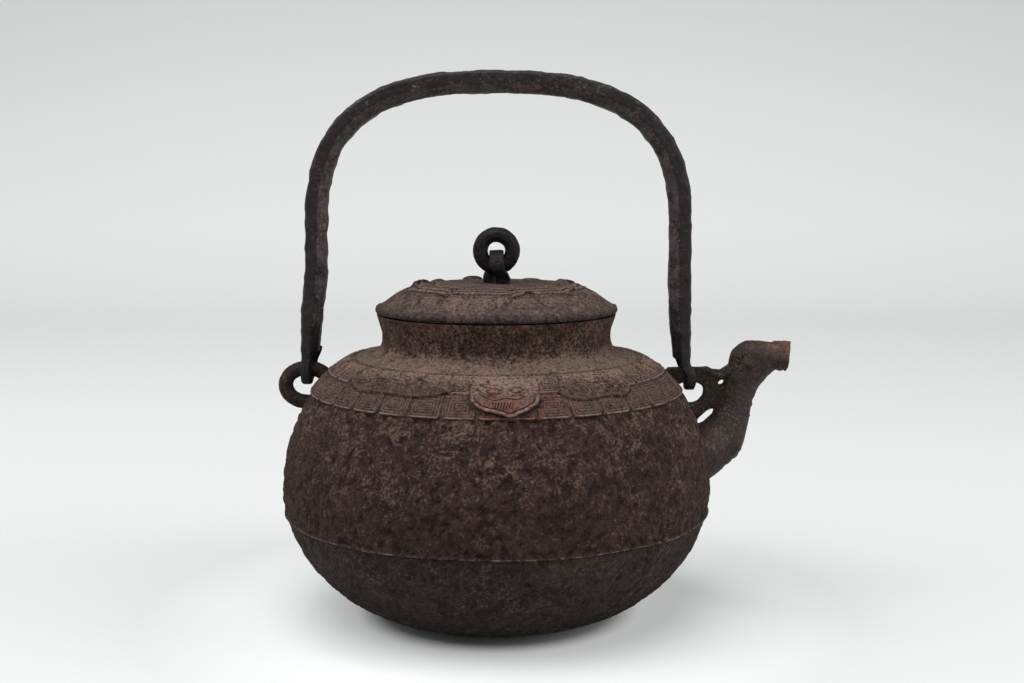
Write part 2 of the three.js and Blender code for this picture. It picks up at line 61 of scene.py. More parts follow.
# Body, in millimetres
BELLY_HEIGHT = 54
FOOT_RADIUS = 40
BOWL_EDGE_RADIUS = 48.6
BOWL_EDGE_HEIGHT = 3.2
NECK_ROOT_RADIUS = 52
NECK_WAIST_RADIUS = 47.9
MOUTH_RADIUS = 50.1
SHOULDER_HEIGHT = MOUTH_HEIGHT - 16.6
NECK_WAIST_HEIGHT = SHOULDER_HEIGHT + 8.1
WALL = 3.4
BOWL_FULLNESS = (1.47, 1.92)
SHOULDER_FULLNESS = (2.0, 1.84)
SEAM_HEIGHT = 45
SEAM_WAVE = 0.5
SEAM_RIDGE = 0.5
BOWL_SINK = 0.5
# How far the shell lies below the band, and how deep what is cast on is let into the shell
BAND_BED = 1.2
SEAT_DEPTH = 1.7
# Steps along the outline: as far as this from the seam, elsewhere outside, and inside
SEAM_REACH = 2.2
SEAM_STEP = 0.45
SKIN_STEP = 1.22
INSIDE_STEP = 5.5
BODY_COLUMNS = 516

# Ornament band, in millimetres and degrees
BAND_INNER_RADIUS = 58
BAND_OUTER_RADIUS = 77.8
BAND_COLUMNS = 1296
BAND_STEP = 0.37
TILE_ANGLE = 10
LEFT_TILE_START = 17.6
RIGHT_TILE_START = 9.4
LOWER_ROW = 11.4
TILE_GAP = 0.4
TILE_SIZE = 10.8
LINE_PITCH = 1.2
LINE_PHASE = 0.36

# Mask shields, in millimetres and degrees
MASK_TURN = 2.6
MASK_DROP = 8.2
MASK_THICKNESS = 2.2
MASK_RISE = 9.3
MASK_SPOKES = 300
MASK_RINGS = 56
# How far round from a mask's middle the band gets painted shadow below the mask's edge
MASK_SHADOW_REACH = 17

# Lid, in millimetres
LID_SEAT = MOUTH_HEIGHT + 0.4
LID_THICKNESS = 3
PLATE_RADIUS = 38.2
PLATE_STEP = 1.4
FLANGE_RADIUS = 43.7
FLANGE_WALL = 2.6
FLANGE_DEPTH = 5.5
RIM_ROUND = 1.5
# Steps along the lid's top: past this radius, and within it
FINE_RADIUS = 26
LID_STEP = 0.62
LID_INNER_STEP = 1.1
LID_COLUMNS = 600

# Lugs, in millimetres
LEFT_LUG = {"x": -79.8, "z": 96.4, "long": 9.2, "tall": 7.25, "bar": 3.2}
BRACKET_THICKNESS = 6.2
EYE_HOLE = {"x": 81.2, "z": 93.2, "half_x": 6.3, "half_z": 4.6, "turn": 0}
SMALL_HOLE = {"x": 94.7, "z": 97.6, "half_x": 1.5, "half_z": 1.5, "turn": 0}
SLOT_HOLE = {"x": 88.2, "z": 83.0, "half_x": 4.8, "half_z": 1.9, "turn": 42}
BRACKET_OUTLINE = [
    (66, 96.3), (72.2, 104.1), (88.6, 104.3), (91.2, 103.1), (94.7, 102.7), (97.8, 104.7),
    (101.5, 107.6), (103, 92.3), (101, 76.3), (84.2, 66.3), (72, 72.3),
]
HORN_PATH = [(86.5, 103.2), (89.5, 102.0), (92.8, 100.6), (96, 100.9), (99, 103), (101.5, 106.2), (103, 110)]

# Spout sections: x and z of the upper edge, x and z of the lower edge, and half width, in millimetres
SPOUT_WALL = 2.9
SPOUT_STATIONS = [
    (74, 74.9, 84, 52.9, 13.2),
    (84, 77.4, 90.5, 56.7, 12.6),
    (90, 81.9, 97.5, 62.5, 11.4),
    (93.5, 86.4, 103.5, 68.7, 9.8),
    (95.4, 91.9, 106.5, 79.9, 8),
    (96.6, 97.9, 108.2, 89.9, 7.2),
    (97.8, 103.9, 111.2, 97.1, 7.3),
    (99.6, 110.5, 114.6, 100.9, 8),
    (104.2, 114.6, 117, 102.9, 8.3),
    (110, 115.2, 118.3, 103, 7.6),
    (117, 114.5, 119.6, 102.4, 7.2),
    (SPOUT_REACH - 0.1, 115.2, 122.2, 101.9, 7.6),
]

# Edge lengths, in millimetres, that the forged and cast copies are evened out to
HANDLE_GRID = 0.55
BRACKET_GRID = 0.42
KNOB_GRID = 0.26

# Colours of the iron, linear
DEEP_BROWN = (0.0085, 0.0050, 0.0042)
WARM_BROWN = (0.057, 0.031, 0.0255)
DUST = (0.230, 0.160, 0.120)
RUST = (0.150, 0.055, 0.028)
PINK_BROWN = (0.125, 0.076, 0.062)
GREY_BROWN = (0.050, 0.036, 0.033)
MAROON = (0.0195, 0.0122, 0.0138)
WORN_GREY = (0.215, 0.165, 0.152)
NEAR_BLACK = (0.0115, 0.0085, 0.0098)

# Colours of the paper as light meets it and as the camera sees it, near and far up, linear
PAPER_LIT = (0.52, 0.53, 0.527)
PAPER_SEEN = (0.672, 0.679, 0.677)
PAPER_HIGH = (0.575, 0.583, 0.580)


def smoothstep(low, high, value):
    share = min(max((value - low) / (high - low), 0.0), 1.0)
    return share * share * (3 - 2 * share)


def bump(distance, radius):
    """1 in the middle of a round bump and nearly 0 past its radius."""
    return math.exp(-2.5 * (distance / radius) ** 2)


def cloud(place, size, octaves=3):
    """Soft noise from about -1 to 1, with features of this size."""
    return noise.fractal(place / size, 1.0, 2.0, octaves)


def crackle(place, size):
    """0 along thin branching lines and 1 in the middle of the cells between them."""
    near = noise.voronoi(place / size)[0]
    return min((near[1] - near[0]) * 1.6, 1.0)


def smooth_value(values, share):
    """A value on the smooth curve through a row of values, at a share of the row from 0 to 1."""
    spans = len(values) - 1
    along = min(max(share, 0.0), 1.0) * spans
    i = min(int(along), spans - 1)
    t = along - i
    here, after = values[i], values[i + 1]
    before = values[i - 1] if i > 0 else 2 * here - after
    beyond = values[i + 2] if i + 2 <= spans else 2 * after - here
    slope = (after - before) * 0.5
    next_slope = (beyond - here) * 0.5
    return (
        (2 * t**3 - 3 * t**2 + 1) * here
        + (t**3 - 2 * t**2 + t) * slope
        + (3 * t**2 - 2 * t**3) * after
        + (t**3 - t**2) * next_slope
    )


def smooth_point(points, share):
    """A point on the smooth curve through a row of points."""
    return tuple(smooth_value(values, share) for values in zip(*points))


def new_piece(name, points, faces, masks=None):
    """A smooth mesh object from points in millimetres."""
    mesh = bpy.data.meshes.new(name)
    mesh.from_pydata([tuple(c * MM for c in p) for p in points], [], faces)
    mesh.polygons.foreach_set("use_smooth", [True] * len(faces))
    if masks is not None:
        mark_raised(mesh, masks)
    piece = bpy.data.objects.new(name, mesh)
    bpy.context.scene.collection.objects.link(piece)
    return piece


def mark_raised(mesh, values):
    """Keeps how far each point stands up, for the materials, which paint shade into the low values; on some
    pieces it also carries painted highlights and a painted reflection.
    """
    layer = mesh.attributes.get("raised") or mesh.attributes.new("raised", "FLOAT", "POINT")
    layer.data.foreach_set("value", values)


def finish_piece(piece, body, material, node=None):
    """Gives a piece its material and the body that it rides on, and hides the CAD node that it stands for."""
    piece.data.materials.clear()
    piece.data.materials.append(material)
    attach(piece, body)
    if node:
        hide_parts(node)


def bake_modifiers(piece):
    """Makes what the modifiers do part of the mesh."""
    graph = bpy.context.evaluated_depsgraph_get()
    mesh = bpy.data.meshes.new_from_object(piece.evaluated_get(graph))
    old = piece.data
    piece.modifiers.clear()
    piece.data = mesh
    bpy.data.meshes.remove(old)
    mesh.polygons.foreach_set("use_smooth", [True] * len(mesh.polygons))


def combine(piece, other, operation):
    """Makes the other solid part of the piece, or its space a hole, and deletes the other."""
    change = piece.modifiers.new("change", "BOOLEAN")
    change.operation = operation
    change.solver = "MANIFOLD"
    change.object = other
    bake_modifiers(piece)
    mesh = other.data
    bpy.data.objects.remove(other)
    bpy.data.meshes.remove(mesh)


def cut(piece, cutter):
    combine(piece, cutter, "DIFFERENCE")


def join(piece, other):
    combine(piece, other, "UNION")


def rework(piece, grid, smoothing, depth_at):
    """Evens a solid out into small faces, softens its edges and presses its skin in or out."""
    remesh = piece.modifiers.new("even", "REMESH")
    remesh.mode = "VOXEL"
    remesh.voxel_size = grid * MM
    soften = piece.modifiers.new("soften", "SMOOTH")
    soften.factor = 0.5
    soften.iterations = smoothing
    bake_modifiers(piece)
    moves = [v.normal * (depth_at(v.co / MM) * MM) for v in piece.data.vertices]
    for vertex, move in zip(piece.data.vertices, moves):
        vertex.co += move


def outline_normals(rows, closed):
    """Unit normals, outward, of an outline that runs up the outside and down the inside."""
    count = len(rows)
    normals = []
    for i in range(count):
        before = rows[i - 1] if i > 0 or closed else rows[0]
        after = rows[(i + 1) % count] if i + 1 < count or closed else rows[-1]
        run, rise = after[0] - before[0], after[1] - before[1]
        length = math.hypot(run, rise) or 1.0
        normals.append((rise / length, -run / length))
    return normals


def ring_faces(low, high, around):
    """The faces between two rings of points, given the first point of each."""
    turns = [(j, (j + 1) % around) for j in range(around)]
    return [(low + j, low + k, high + k, high + j) for j, k in turns]


def turned_piece(name, rows, columns, skin, closed=False):
    """A piece turned about the upright axis from (radius, height) rows.

    skin(row, angle, place) gives how far a point moves along the outline's normal and its mask.
    """
    points, masks, starts = [], [], []
    for i, ((radius, height), normal) in enumerate(zip(rows, outline_normals(rows, closed))):
        starts.append(len(points))
        for j in range(1 if radius == 0 else columns):
            angle = 2 * math.pi * j / columns
            c, s = math.cos(angle), math.sin(angle)
            offset, mask = skin(i, angle, Vector((radius * c, radius * s, height)))
            out = radius + normal[0] * offset if radius else 0.0
            points.append((out * c, out * s, height + normal[1] * offset))
            masks.append(mask)
    faces = []
    for i in range(len(rows) if closed else len(rows) - 1):
        low, high = starts[i], starts[(i + 1) % len(rows)]
        low_pole = rows[i][0] == 0
        high_pole = rows[(i + 1) % len(rows)][0] == 0
        if low_pole:
            faces += [(low, high + (j + 1) % columns, high + j) for j in range(columns)]
        elif high_pole:
            faces += [(low + j, low + (j + 1) % columns, high) for j in range(columns)]
        else:
            faces += ring_faces(low, high, columns)
    return new_piece(name, points, faces, masks)


def tube_piece(name, sections, joined):
    """A piece through a row of closed sections, joined end to start or capped at both ends."""
    around = len(sections[0])
    points = [p for section in sections for p in section]
    faces = []
    for i in range(len(sections) if joined else len(sections) - 1):
        faces += ring_faces(i * around, (i + 1) % len(sections) * around, around)
    if not joined:
        faces.append(tuple(reversed(range(around))))
        faces.append(tuple(range(len(points) - around, len(points))))
    return new_piece(name, points, faces)


def solid_tube(name, sections):
    """A capped tube to cut or build with, turned inside out so that its faces look outward."""
    solid = tube_piece(name, sections, joined=False)
    solid.data.flip_normals()
    return solid


def body_outline(grow=0.0, bowl=64, shoulder=72, neck=20):
    """The kettle's outline from the edge of its foot to its mouth, moved out along its normal."""
    line = []
    for i in range(bowl + 1):
        angle = math.pi / 2 * (1 - i / bowl)
        reach = max(math.cos(angle), 0.0) ** (2 / BOWL_FULLNESS[0])
        drop = math.sin(angle) ** (2 / BOWL_FULLNESS[1])
        radius = BOWL_EDGE_RADIUS + (BELLY_RADIUS - BOWL_EDGE_RADIUS) * reach
        line.append((radius, BELLY_HEIGHT - (BELLY_HEIGHT - BOWL_EDGE_HEIGHT) * drop))
    for i in range(1, shoulder + 1):
        angle = math.pi / 2 * i / shoulder
        reach = max(math.cos(angle), 0.0) ** (2 / SHOULDER_FULLNESS[0])
        rise = math.sin(angle) ** (2 / SHOULDER_FULLNESS[1])
        radius = NECK_ROOT_RADIUS + (BELLY_RADIUS - NECK_ROOT_RADIUS) * reach
        line.append((radius, BELLY_HEIGHT + (SHOULDER_HEIGHT - BELLY_HEIGHT) * rise))
    waist_rise = NECK_WAIST_HEIGHT - SHOULDER_HEIGHT
    lip_rise = MOUTH_HEIGHT - NECK_WAIST_HEIGHT
    neck_points = [
        (NECK_ROOT_RADIUS, SHOULDER_HEIGHT),
        (NECK_WAIST_RADIUS + 1, SHOULDER_HEIGHT + waist_rise * 0.35),
        (NECK_WAIST_RADIUS, NECK_WAIST_HEIGHT),
        (MOUTH_RADIUS - 0.7, MOUTH_HEIGHT - lip_rise * 0.3),
        (MOUTH_RADIUS, MOUTH_HEIGHT),
    ]
    for i in range(1, neck + 1):
        line.append(smooth_point(neck_points, i / neck))
    if grow == 0:
        return line
    moved = outline_normals(line, False)
    return [(r + n[0] * grow, z + n[1] * grow) for (r, z), n in zip(line, moved)]


def evenly(line, step_at):
    """Points along a line, as far apart as step_at(radius, height) says."""
    spaced = [line[0]]
    left = step_at(*line[0])
    for (r0, z0), (r1, z1) in zip(line, line[1:]):
        length = math.hypot(r1 - r0, z1 - z0)
        walked = 0.0
        while length - walked > left:
            walked += left
            share = walked / length
            spaced.append((r0 + (r1 - r0) * share, z0 + (z1 - z0) * share))
            left = step_at(*spaced[-1])
        left -= length - walked
    spaced.append(line[-1])
    return spaced


def wall_core(name, sink):
    """The filled body, smaller by sink, which what is cast on to it is cut with."""
    line = [p for p in body_outline(-sink, 24, 28, 8) if p[1] > sink]
    rows = [(0.0, sink), *line, (line[-1][0], MOUTH_HEIGHT + 20), (0.0, MOUTH_HEIGHT + 20)]
    return turned_piece(name, rows, 120, lambda i, angle, place: (0.0, 0.0))


def casting_skin(place, lumps, bark, grain):
    """Depth of a rough casting's skin in millimetres, at most 0, and how far it stands up, 0 to 1."""
    warp = Vector((cloud(place, 10, 2), cloud(place + Vector((31, 0, 0)), 10, 2), 0)) * 4
    streak = Vector((place.x + place.z * 0.45, place.y, place.z * 0.7 - place.x * 0.2)) + warp
    broad = cloud(place + Vector((0, 57, 0)), 11, 2)
    rough = 1 - abs(cloud(streak, 4.4, 3)) * 2.0
    fine = cloud(place, 2.1, 2)
    cracks = 1 - crackle(streak, 4.2)
    depth = lumps * (broad - 0.35) + bark * (rough - 0.6 - 0.7 * cracks**3) + grain * (fine - 0.3)
    lift = bark * (rough - 0.6 - 0.7 * cracks**3) + grain * fine + 0.3 * lumps * (broad - 0.35)
    raised = smoothstep(-1.0, 0.3, lift / max(bark + grain, 0.05))
    return min(depth, 0.0), raised


def body_skin(rows, inside_from):
    """The skin of the shell: bark-like belly, smoother bowl, dusty shoulder with painted top light, and speckled
    neck.
    """

    def skin(i, angle, place):
        radius, height = rows[i]
        if i >= inside_from:
            return -0.15 + 0.12 * cloud(place, 6, 2), 0.0
        if height < 1:
            return -0.05 + 0.05 * cloud(place, 4, 2), 0.0
        on_shoulder = height > BELLY_HEIGHT
        if on_shoulder and BAND_INNER_RADIUS + 0.6 < radius < BAND_OUTER_RADIUS - 0.6:
            return -BAND_BED, 0.3
        seam = SEAM_HEIGHT + SEAM_WAVE * cloud(Vector((math.cos(angle), math.sin(angle), 0)) * 30, 12, 2)
        above_seam = smoothstep(seam - 0.4, seam + 0.5, height)
        low = smoothstep(BOWL_EDGE_HEIGHT - 2, 12, height)
        calm = 1.0
        if on_shoulder:
            calm = 1 - 0.7 * smoothstep(BAND_OUTER_RADIUS + 2, BAND_OUTER_RADIUS - 4, radius)
        lumps = (0.45 + 0.2 * above_seam) * low * calm
        bark = (0.4 + 0.3 * above_seam) * low * calm
        depth, raised = casting_skin(place, lumps, bark, 0.35 * calm)
        raised = 0.55 + (raised - 0.5) * (0.25 + 0.4 * calm)
        ridge = bump(height - seam, 0.7)
        depth = depth * (1 - 0.8 * ridge) + SEAM_RIDGE * ridge
        depth -= BOWL_SINK * (1 - above_seam) * (1 - ridge) * smoothstep(25, seam, height)
        if on_shoulder and radius < BAND_INNER_RADIUS:
            depth += 0.45 * bump(radius - NECK_ROOT_RADIUS - 2.0, 1.5)
            depth -= 0.5 * bump(radius - NECK_ROOT_RADIUS - 4.2, 0.9)
        # A painted highlight along the seam's ridge and painted shade just below it.
        raised += 0.8 * bump(height - seam, 0.42) - 0.5 * bump(height - seam + 0.95, 0.5)
        return min(depth, SEAM_RIDGE), max(raised, 0.0)

    return skin


def make_body(material):
    """The hollow shell, with small steps at the seam and a hole where the spout's channel starts."""

    def step_at(radius, height):
        return SEAM_STEP if abs(height - SEAM_HEIGHT) < SEAM_REACH else SKIN_STEP

    outer = evenly([(FOOT_RADIUS, 0.0), *body_outline()], step_at)
    base = [(0.0, 0.0), (8.0, 0.0), (18.0, 0.0), (27.0, 0.0), (34.0, 0.0), (38.0, 0.0)]
    inner = reversed(evenly(body_outline(-WALL), lambda r, z: INSIDE_STEP))
    within = [p for p in inner if WALL + 1.5 < p[1] < MOUTH_HEIGHT - 0.3]
    rim = [(MOUTH_RADIUS - 0.5, MOUTH_HEIGHT + 0.12), (within[0][0] + 0.5, MOUTH_HEIGHT + 0.12)]
    floor = [(FOOT_RADIUS, WALL + 0.6), (28.0, WALL + 0.6), (14.0, WALL + 0.6), (0.0, WALL + 0.6)]
    rows = [*base, *outer, *rim, *within, *floor]
    inside_from = len(base) + len(outer)
    shell = turned_piece("body_shell", rows, BODY_COLUMNS, body_skin(rows, inside_from))
    cut(shell, spout_channel())
    finish_piece(shell, "kettle", material, "body")


def tile_wave(across, up, width, height):
    """The nested lines of a squared spiral on one tile: its height from 0 to 1, or less in the gaps."""
    corner = 2.2
    right, top = width - across, height - up
    side_in, end_in = min(across, right), min(up, top)
    edge = min(side_in, end_in)
    if side_in < corner and up < corner:
        edge = min(edge, corner - math.hypot(corner - side_in, corner - up))
    if edge < 0:
        return -0.5 * smoothstep(0, -0.4, edge)
    turns = {up: 0.0, right: 0.25, top: 0.5, across: 0.75}
    phase = turns[min(turns)]
    line = 0.5 + 0.5 * math.cos(2 * math.pi * (edge / LINE_PITCH - LINE_PHASE + phase))
    border = smoothstep(0, 0.35, edge)
    return border * (0.12 + 0.88 * line)


# The flat animals on the band: degrees round from the mask to tail and head, and in millimetres the
# height of the middle line above the band's outer edge, the head's further rise and the half width
ANIMALS = [
    {"tail": -57.0, "head": -12.0, "middle": 13.6, "head_rise": 2.6, "half": 4.9},
    {"tail": 45.0, "head": 16.5, "middle": 12.2, "head_rise": 1.0, "half": 5.2},
]
# Grooves on each animal: share of its length, offset across, half length, bend and how many
GROOVES = [
    (0.30, 0.8, 2.6, -0.02, 3),
    (0.44, 2.6, 2.4, 0.02, 1),
    (0.66, 2.4, 3.4, -0.07, 2),
    (0.93, 0.6, 1.8, -0.16, 2),
    (0.13, -0.5, 2.0, 0.06, 2),
]


def animal(share, shape, up):
    """How far inside the edge of a flat animal a place on the band lies, in millimetres."""
    if not 0 < share < 1:
        return -9.0
    top = shape["half"] * min(1.0, 5 * share, 4.5 * (1 - share)) ** 0.5
    middle = shape["middle"] + shape["head_rise"] * smoothstep(0.6, 1.0, share)
    offset = up - middle
    if offset < 0:
        return min(top, 4.3 + 0.4 * math.sin(share * 11)) + offset
    return top - offset - 1.2 * math.sin(share * 9)


def grooves(share, middle, length, up):
    """How deep the animal's grooves are at a place, from 0 to 1."""
    deep = 0.0
    for at, offset, half, bend, count in GROOVES:
        along = (share - at) * length
        if abs(along) < half:
            for k in range(count):
                line = up - middle - offset - 1.4 * (k - (count - 1) / 2) - bend * (along * along - half)
                deep = max(deep, bump(line, 0.4) * smoothstep(half, half - 0.8, abs(along)))
    return deep


def band_relief(turn, up, place):
    """Height of the band's ornament above the plain shoulder, and how worn and light it is, with painted shade
    in its grooves and below the masks.
    """
    radius = math.hypot(place.x, place.y)
    side_turn = (turn - MASK_TURN + 180) % 360 - 180
    start = RIGHT_TILE_START if side_turn > 0 else LEFT_TILE_START
    tile_turn = (abs(side_turn) - start) % TILE_ANGLE
    width = math.radians(TILE_ANGLE) * radius - TILE_GAP
    across = math.radians(tile_turn) * radius - TILE_GAP / 2
    row_up = up - 0.1 if up < LOWER_ROW else up - LOWER_ROW
    wave = tile_wave(across, row_up, width, TILE_SIZE)
    wear = min(0.8 + 0.5 * cloud(place, 7, 2), 1.0)
    rough = cloud(place, 1.8, 2)
    height = 0.2 + 0.66 * wave * wear + 0.08 * rough
    # The spiral's grooves get a low mask, which the material paints dark as shade; its ridges get a high one, as
    # wear.
    mask = 0.08 + 0.72 * max(wave, 0.0) * wear
    if row_up < 1.3 and wave > 0:
        height += 0.25 * bump(row_up - 0.45, 0.55)
        mask += (1.0 + 0.5 * rough) * bump(row_up - 0.42, 0.5)
    half_turn = side_turn if abs(side_turn) <= 90 else math.copysign(180 - abs(side_turn), side_turn)
    beside = math.radians(half_turn if abs(side_turn) <= 90 else -half_turn) * radius
    # Painted shadow on the band just outside and below the mask's edge, under the shield's overhang.
    if abs(beside) < MASK_SHADOW_REACH:
        above = up - MASK_RISE
        clear = math.hypot(beside, above) - shield_edge(math.atan2(above, beside))
        mask -= 0.9 * smoothstep(2.4, 0.2, clear) * smoothstep(2, -4, above)
    for shape in ANIMALS:
        share = (half_turn - shape["tail"]) / (shape["head"] - shape["tail"])
        inside = animal(share, shape, up)
        if inside > -1.8:
            length = math.radians(abs(shape["head"] - shape["tail"])) * radius
            groove = grooves(share, shape["middle"], length, up)
            low = smoothstep(shape["middle"] + 1, shape["middle"] - 2, up)
            cover = smoothstep(-0.35, 0.25, inside)
            back = 0.9 + 0.2 * cloud(place, 5, 2) + 0.08 * rough - 0.5 * groove
            height = height * (1 - cover) + back * cover - 0.5 * low * bump(inside + 0.75, 0.6)
            # Darker in the animals' grooves and in the groove along their lower edge: painted shade; a painted
            # highlight on the lower rim just inside it.
            mask = mask * (1 - cover) + (0.30 + 0.16 * rough - 0.45 * groove) * cover
            mask += low * (0.3 * bump(inside - 0.3, 0.4) - 0.9 * bump(inside + 0.75, 0.6))
    return height, min(max(mask, 0.0), 1.5)


def band_line():
    """The plain shoulder under the band, from its outer to its inner edge."""
    return [
        p for p in body_outline(0.0, 8, 400, 4)
        if p[1] > BELLY_HEIGHT and BAND_INNER_RADIUS <= p[0] <= BAND_OUTER_RADIUS
    ]


def make_band(material):
    """The ornament band: two rows of squared-spiral tiles with long animals lying on them."""
    top = evenly(band_line(), lambda r, z: BAND_STEP)
    sunk = [(r - 1.5, z - 1.5) for r, z in (top[-1], top[len(top) // 2], top[0])]
    rows = [*top, *sunk]
    ups = [0.0]
    for (r0, z0), (r1, z1) in zip(top, top[1:]):
        ups.append(ups[-1] + math.hypot(r1 - r0, z1 - z0))

    def skin(i, angle, place):
        if i >= len(top):
            return 0.0, 0.0
        turn = math.degrees(angle) + 90
        height, mask = band_relief(turn, ups[i], place)
        edge = smoothstep(-0.2, 0.3, ups[i]) * smoothstep(ups[-1], ups[-1] - 1.4, ups[i])
        return height * edge - 0.5 * (1 - edge), mask * edge + 0.2 * (1 - edge)

    band = turned_piece("ornament_band", rows, BAND_COLUMNS, skin, closed=True)
    finish_piece(band, "kettle", material)


# Outline of the shield in millimetres across and up from its middle
SHIELD = [
    (12.8, 10.3), (13.8, 6.8), (13.9, 2.8), (13.7, -0.8), (12.7, -3.9), (9.3, -6.3), (6.7, -7.4),
    (3.7, -8.8), (2.1, -9.2), (0.2, -8.5), (-2.5, -7.5), (-6.2, -6.7), (-7.8, -6.1), (-9.9, -5.0), (-11.9, -2.6),
    (-12.6, 0.0), (-12.6, 2.8), (-12.0, 6.1), (-10.5, 9.2), (-8.4, 11.1), (2.5, 11.6),
]

# Carved lines of the mask in millimetres across and up: how deep each is, and its points
FACE_LINES = [
    (0.8, [(-8.5, 5.5), (-6.6, 4.4), (-4.8, 4.1), (-2.2, 3.6), (-0.4, 2.6)]),
    (1.0, [(-6.1, 1.3), (-5.1, 0.7), (-3.7, 0.4), (-2.3, 0.5), (-0.9, 1.3)]),
    (0.6, [(-6.1, 1.4), (-5.6, 2.7), (-4.6, 3.2), (-3.2, 3.2), (-1.8, 2.8), (-0.9, 1.6)]),
    (0.8, [(-8.9, 2.5), (-7.4, 1.0), (-5.6, 0.0), (-4.2, -0.5), (-2.3, -0.6)]),
    (1.0, [(-9.0, 1.4), (-7.7, 0.0), (-6.1, -1.1), (-4.5, -1.9), (-2.6, -2.1), (-0.5, -1.5), (1.3, -1.15)]),
    (1.0, [(1.3, -1.15), (3.2, -1.5), (4.8, -1.9), (6.0, -1.65), (7.4, -0.85), (8.9, -0.3)]),
    (1.2, [(3.0, 1.9), (4.0, 1.3), (5.2, 1.2), (6.4, 1.8), (7.7, 3.0)]),
    (0.7, [(3.3, 2.8), (4.6, 3.7), (5.7, 4.0), (6.9, 3.6)]),
    (0.7, [(3.3, 0.5), (4.6, 0.1), (6.0, 0.2), (7.5, 0.9), (8.2, 1.4)]),
    (0.5, [(-6.0, 7.9), (-7.6, 7.7), (-8.7, 6.9), (-8.4, 6.0)]),
    (0.6, [(2.4, -4.1), (3.0, -3.1)]),
]
# Domes on the mask: across, up, half length, half width and rise
FACE_DOMES = [
    (-3.5, 1.9, 2.3, 1.2, 0.5), (5.4, 2.6, 2.2, 1.1, 0.4), (-10.5, 3.5, 1.25, 1.25, 0.6),
    (-7.2, 6.6, 1.5, 0.9, 0.4), (-6.0, 10.0, 2.4, 0.8, 0.4), (0.6, 10.2, 2.0, 0.8, 0.4),
    (6.6, 10.0, 2.4, 0.7, 0.4), (-2.6, 7.0, 2.6, 1.6, 0.25),
]


def line_distance(x, y, points):
    """How far a place lies from a line through these points."""
    least = 99.0
    for (x0, y0), (x1, y1) in zip(points, points[1:]):
        run, rise = x1 - x0, y1 - y0
        share = ((x - x0) * run + (y - y0) * rise) / (run * run + rise * rise)
        share = min(max(share, 0.0), 1.0)
        least = min(least, math.hypot(x - x0 - share * run, y - y0 - share * rise))
    return least


def shield_edge(turn):
    """How far the shield reaches from its middle in a direction."""
    x, y = math.cos(turn), math.sin(turn)
    for (x0, y0), (x1, y1) in zip(SHIELD, SHIELD[1:] + SHIELD[:1]):
        run, rise = x1 - x0, y1 - y0
        spread = x * rise - y * run
        if abs(spread) > 1e-9:
            reach = (x0 * rise - y0 * run) / spread
            share = (x0 * y - y0 * x) / spread
            if reach > 0 and -1e-6 <= share <= 1 + 1e-6:
                return reach
    return 11.0


def mask_relief(across, up, inset):
    """Height of the mask's face above its ground, and how worn and light it is, with painted shade in its carved
    lines and undercuts.
    """
    rough = cloud(Vector((across, up, 4)), 1.7, 2)
    # dark is painted shade: in the carved lines, round the domes, between the teeth, in the line inside the rim
    # and along the upper outline.
    height = 0.12 * rough
    dark = 0.0
    light = 0.0
    for depth, points in FACE_LINES:
        dark = max(dark, 0.8 * depth * bump(line_distance(across, up, points), 0.36))
    for x0, y0, long, tall, rise in FACE_DOMES:
        away = math.hypot((across - x0) / long, (up - y0) / tall)
        if away < 1.6:
            height += rise * smoothstep(1.0, 0.4, away)
            light = max(light, 0.35 * smoothstep(1.0, 0.3, away))
            dark = max(dark, 0.45 * bump(away - 1.15, 0.2))
    if -4.2 < across < 3.6 and -6.6 < up < -2.4:
        row = smoothstep(-6.1 - 0.1 * across, -5.5, up) * smoothstep(-2.6, -3.4, up)
        tooth = 0.5 + 0.5 * math.cos((across - 0.75 - 0.25 * up) * 2 * math.pi / 1.08)
        light = max(light, tooth * row)
        dark = max(dark, 0.8 * (1 - tooth) * row)
    low = smoothstep(1.0, -2.5, up)
    rim = smoothstep(1.35, 1.0, inset) * low
    dark = max(dark, 1.1 * bump(inset - 1.6, 0.4) * low) * (1 - rim)
    dark = max(dark, 0.7 * bump(inset - 0.2, 0.4) * (1 - low))
    height += 0.3 * light - 0.42 * dark + 0.4 * rim * (1 + 0.9 * rough)
    mask = 0.62 + 0.25 * rough + 0.4 * light - 0.95 * dark + rim * (0.42 + 0.45 * rough)
    return height, min(max(mask, 0.0), 1.6)


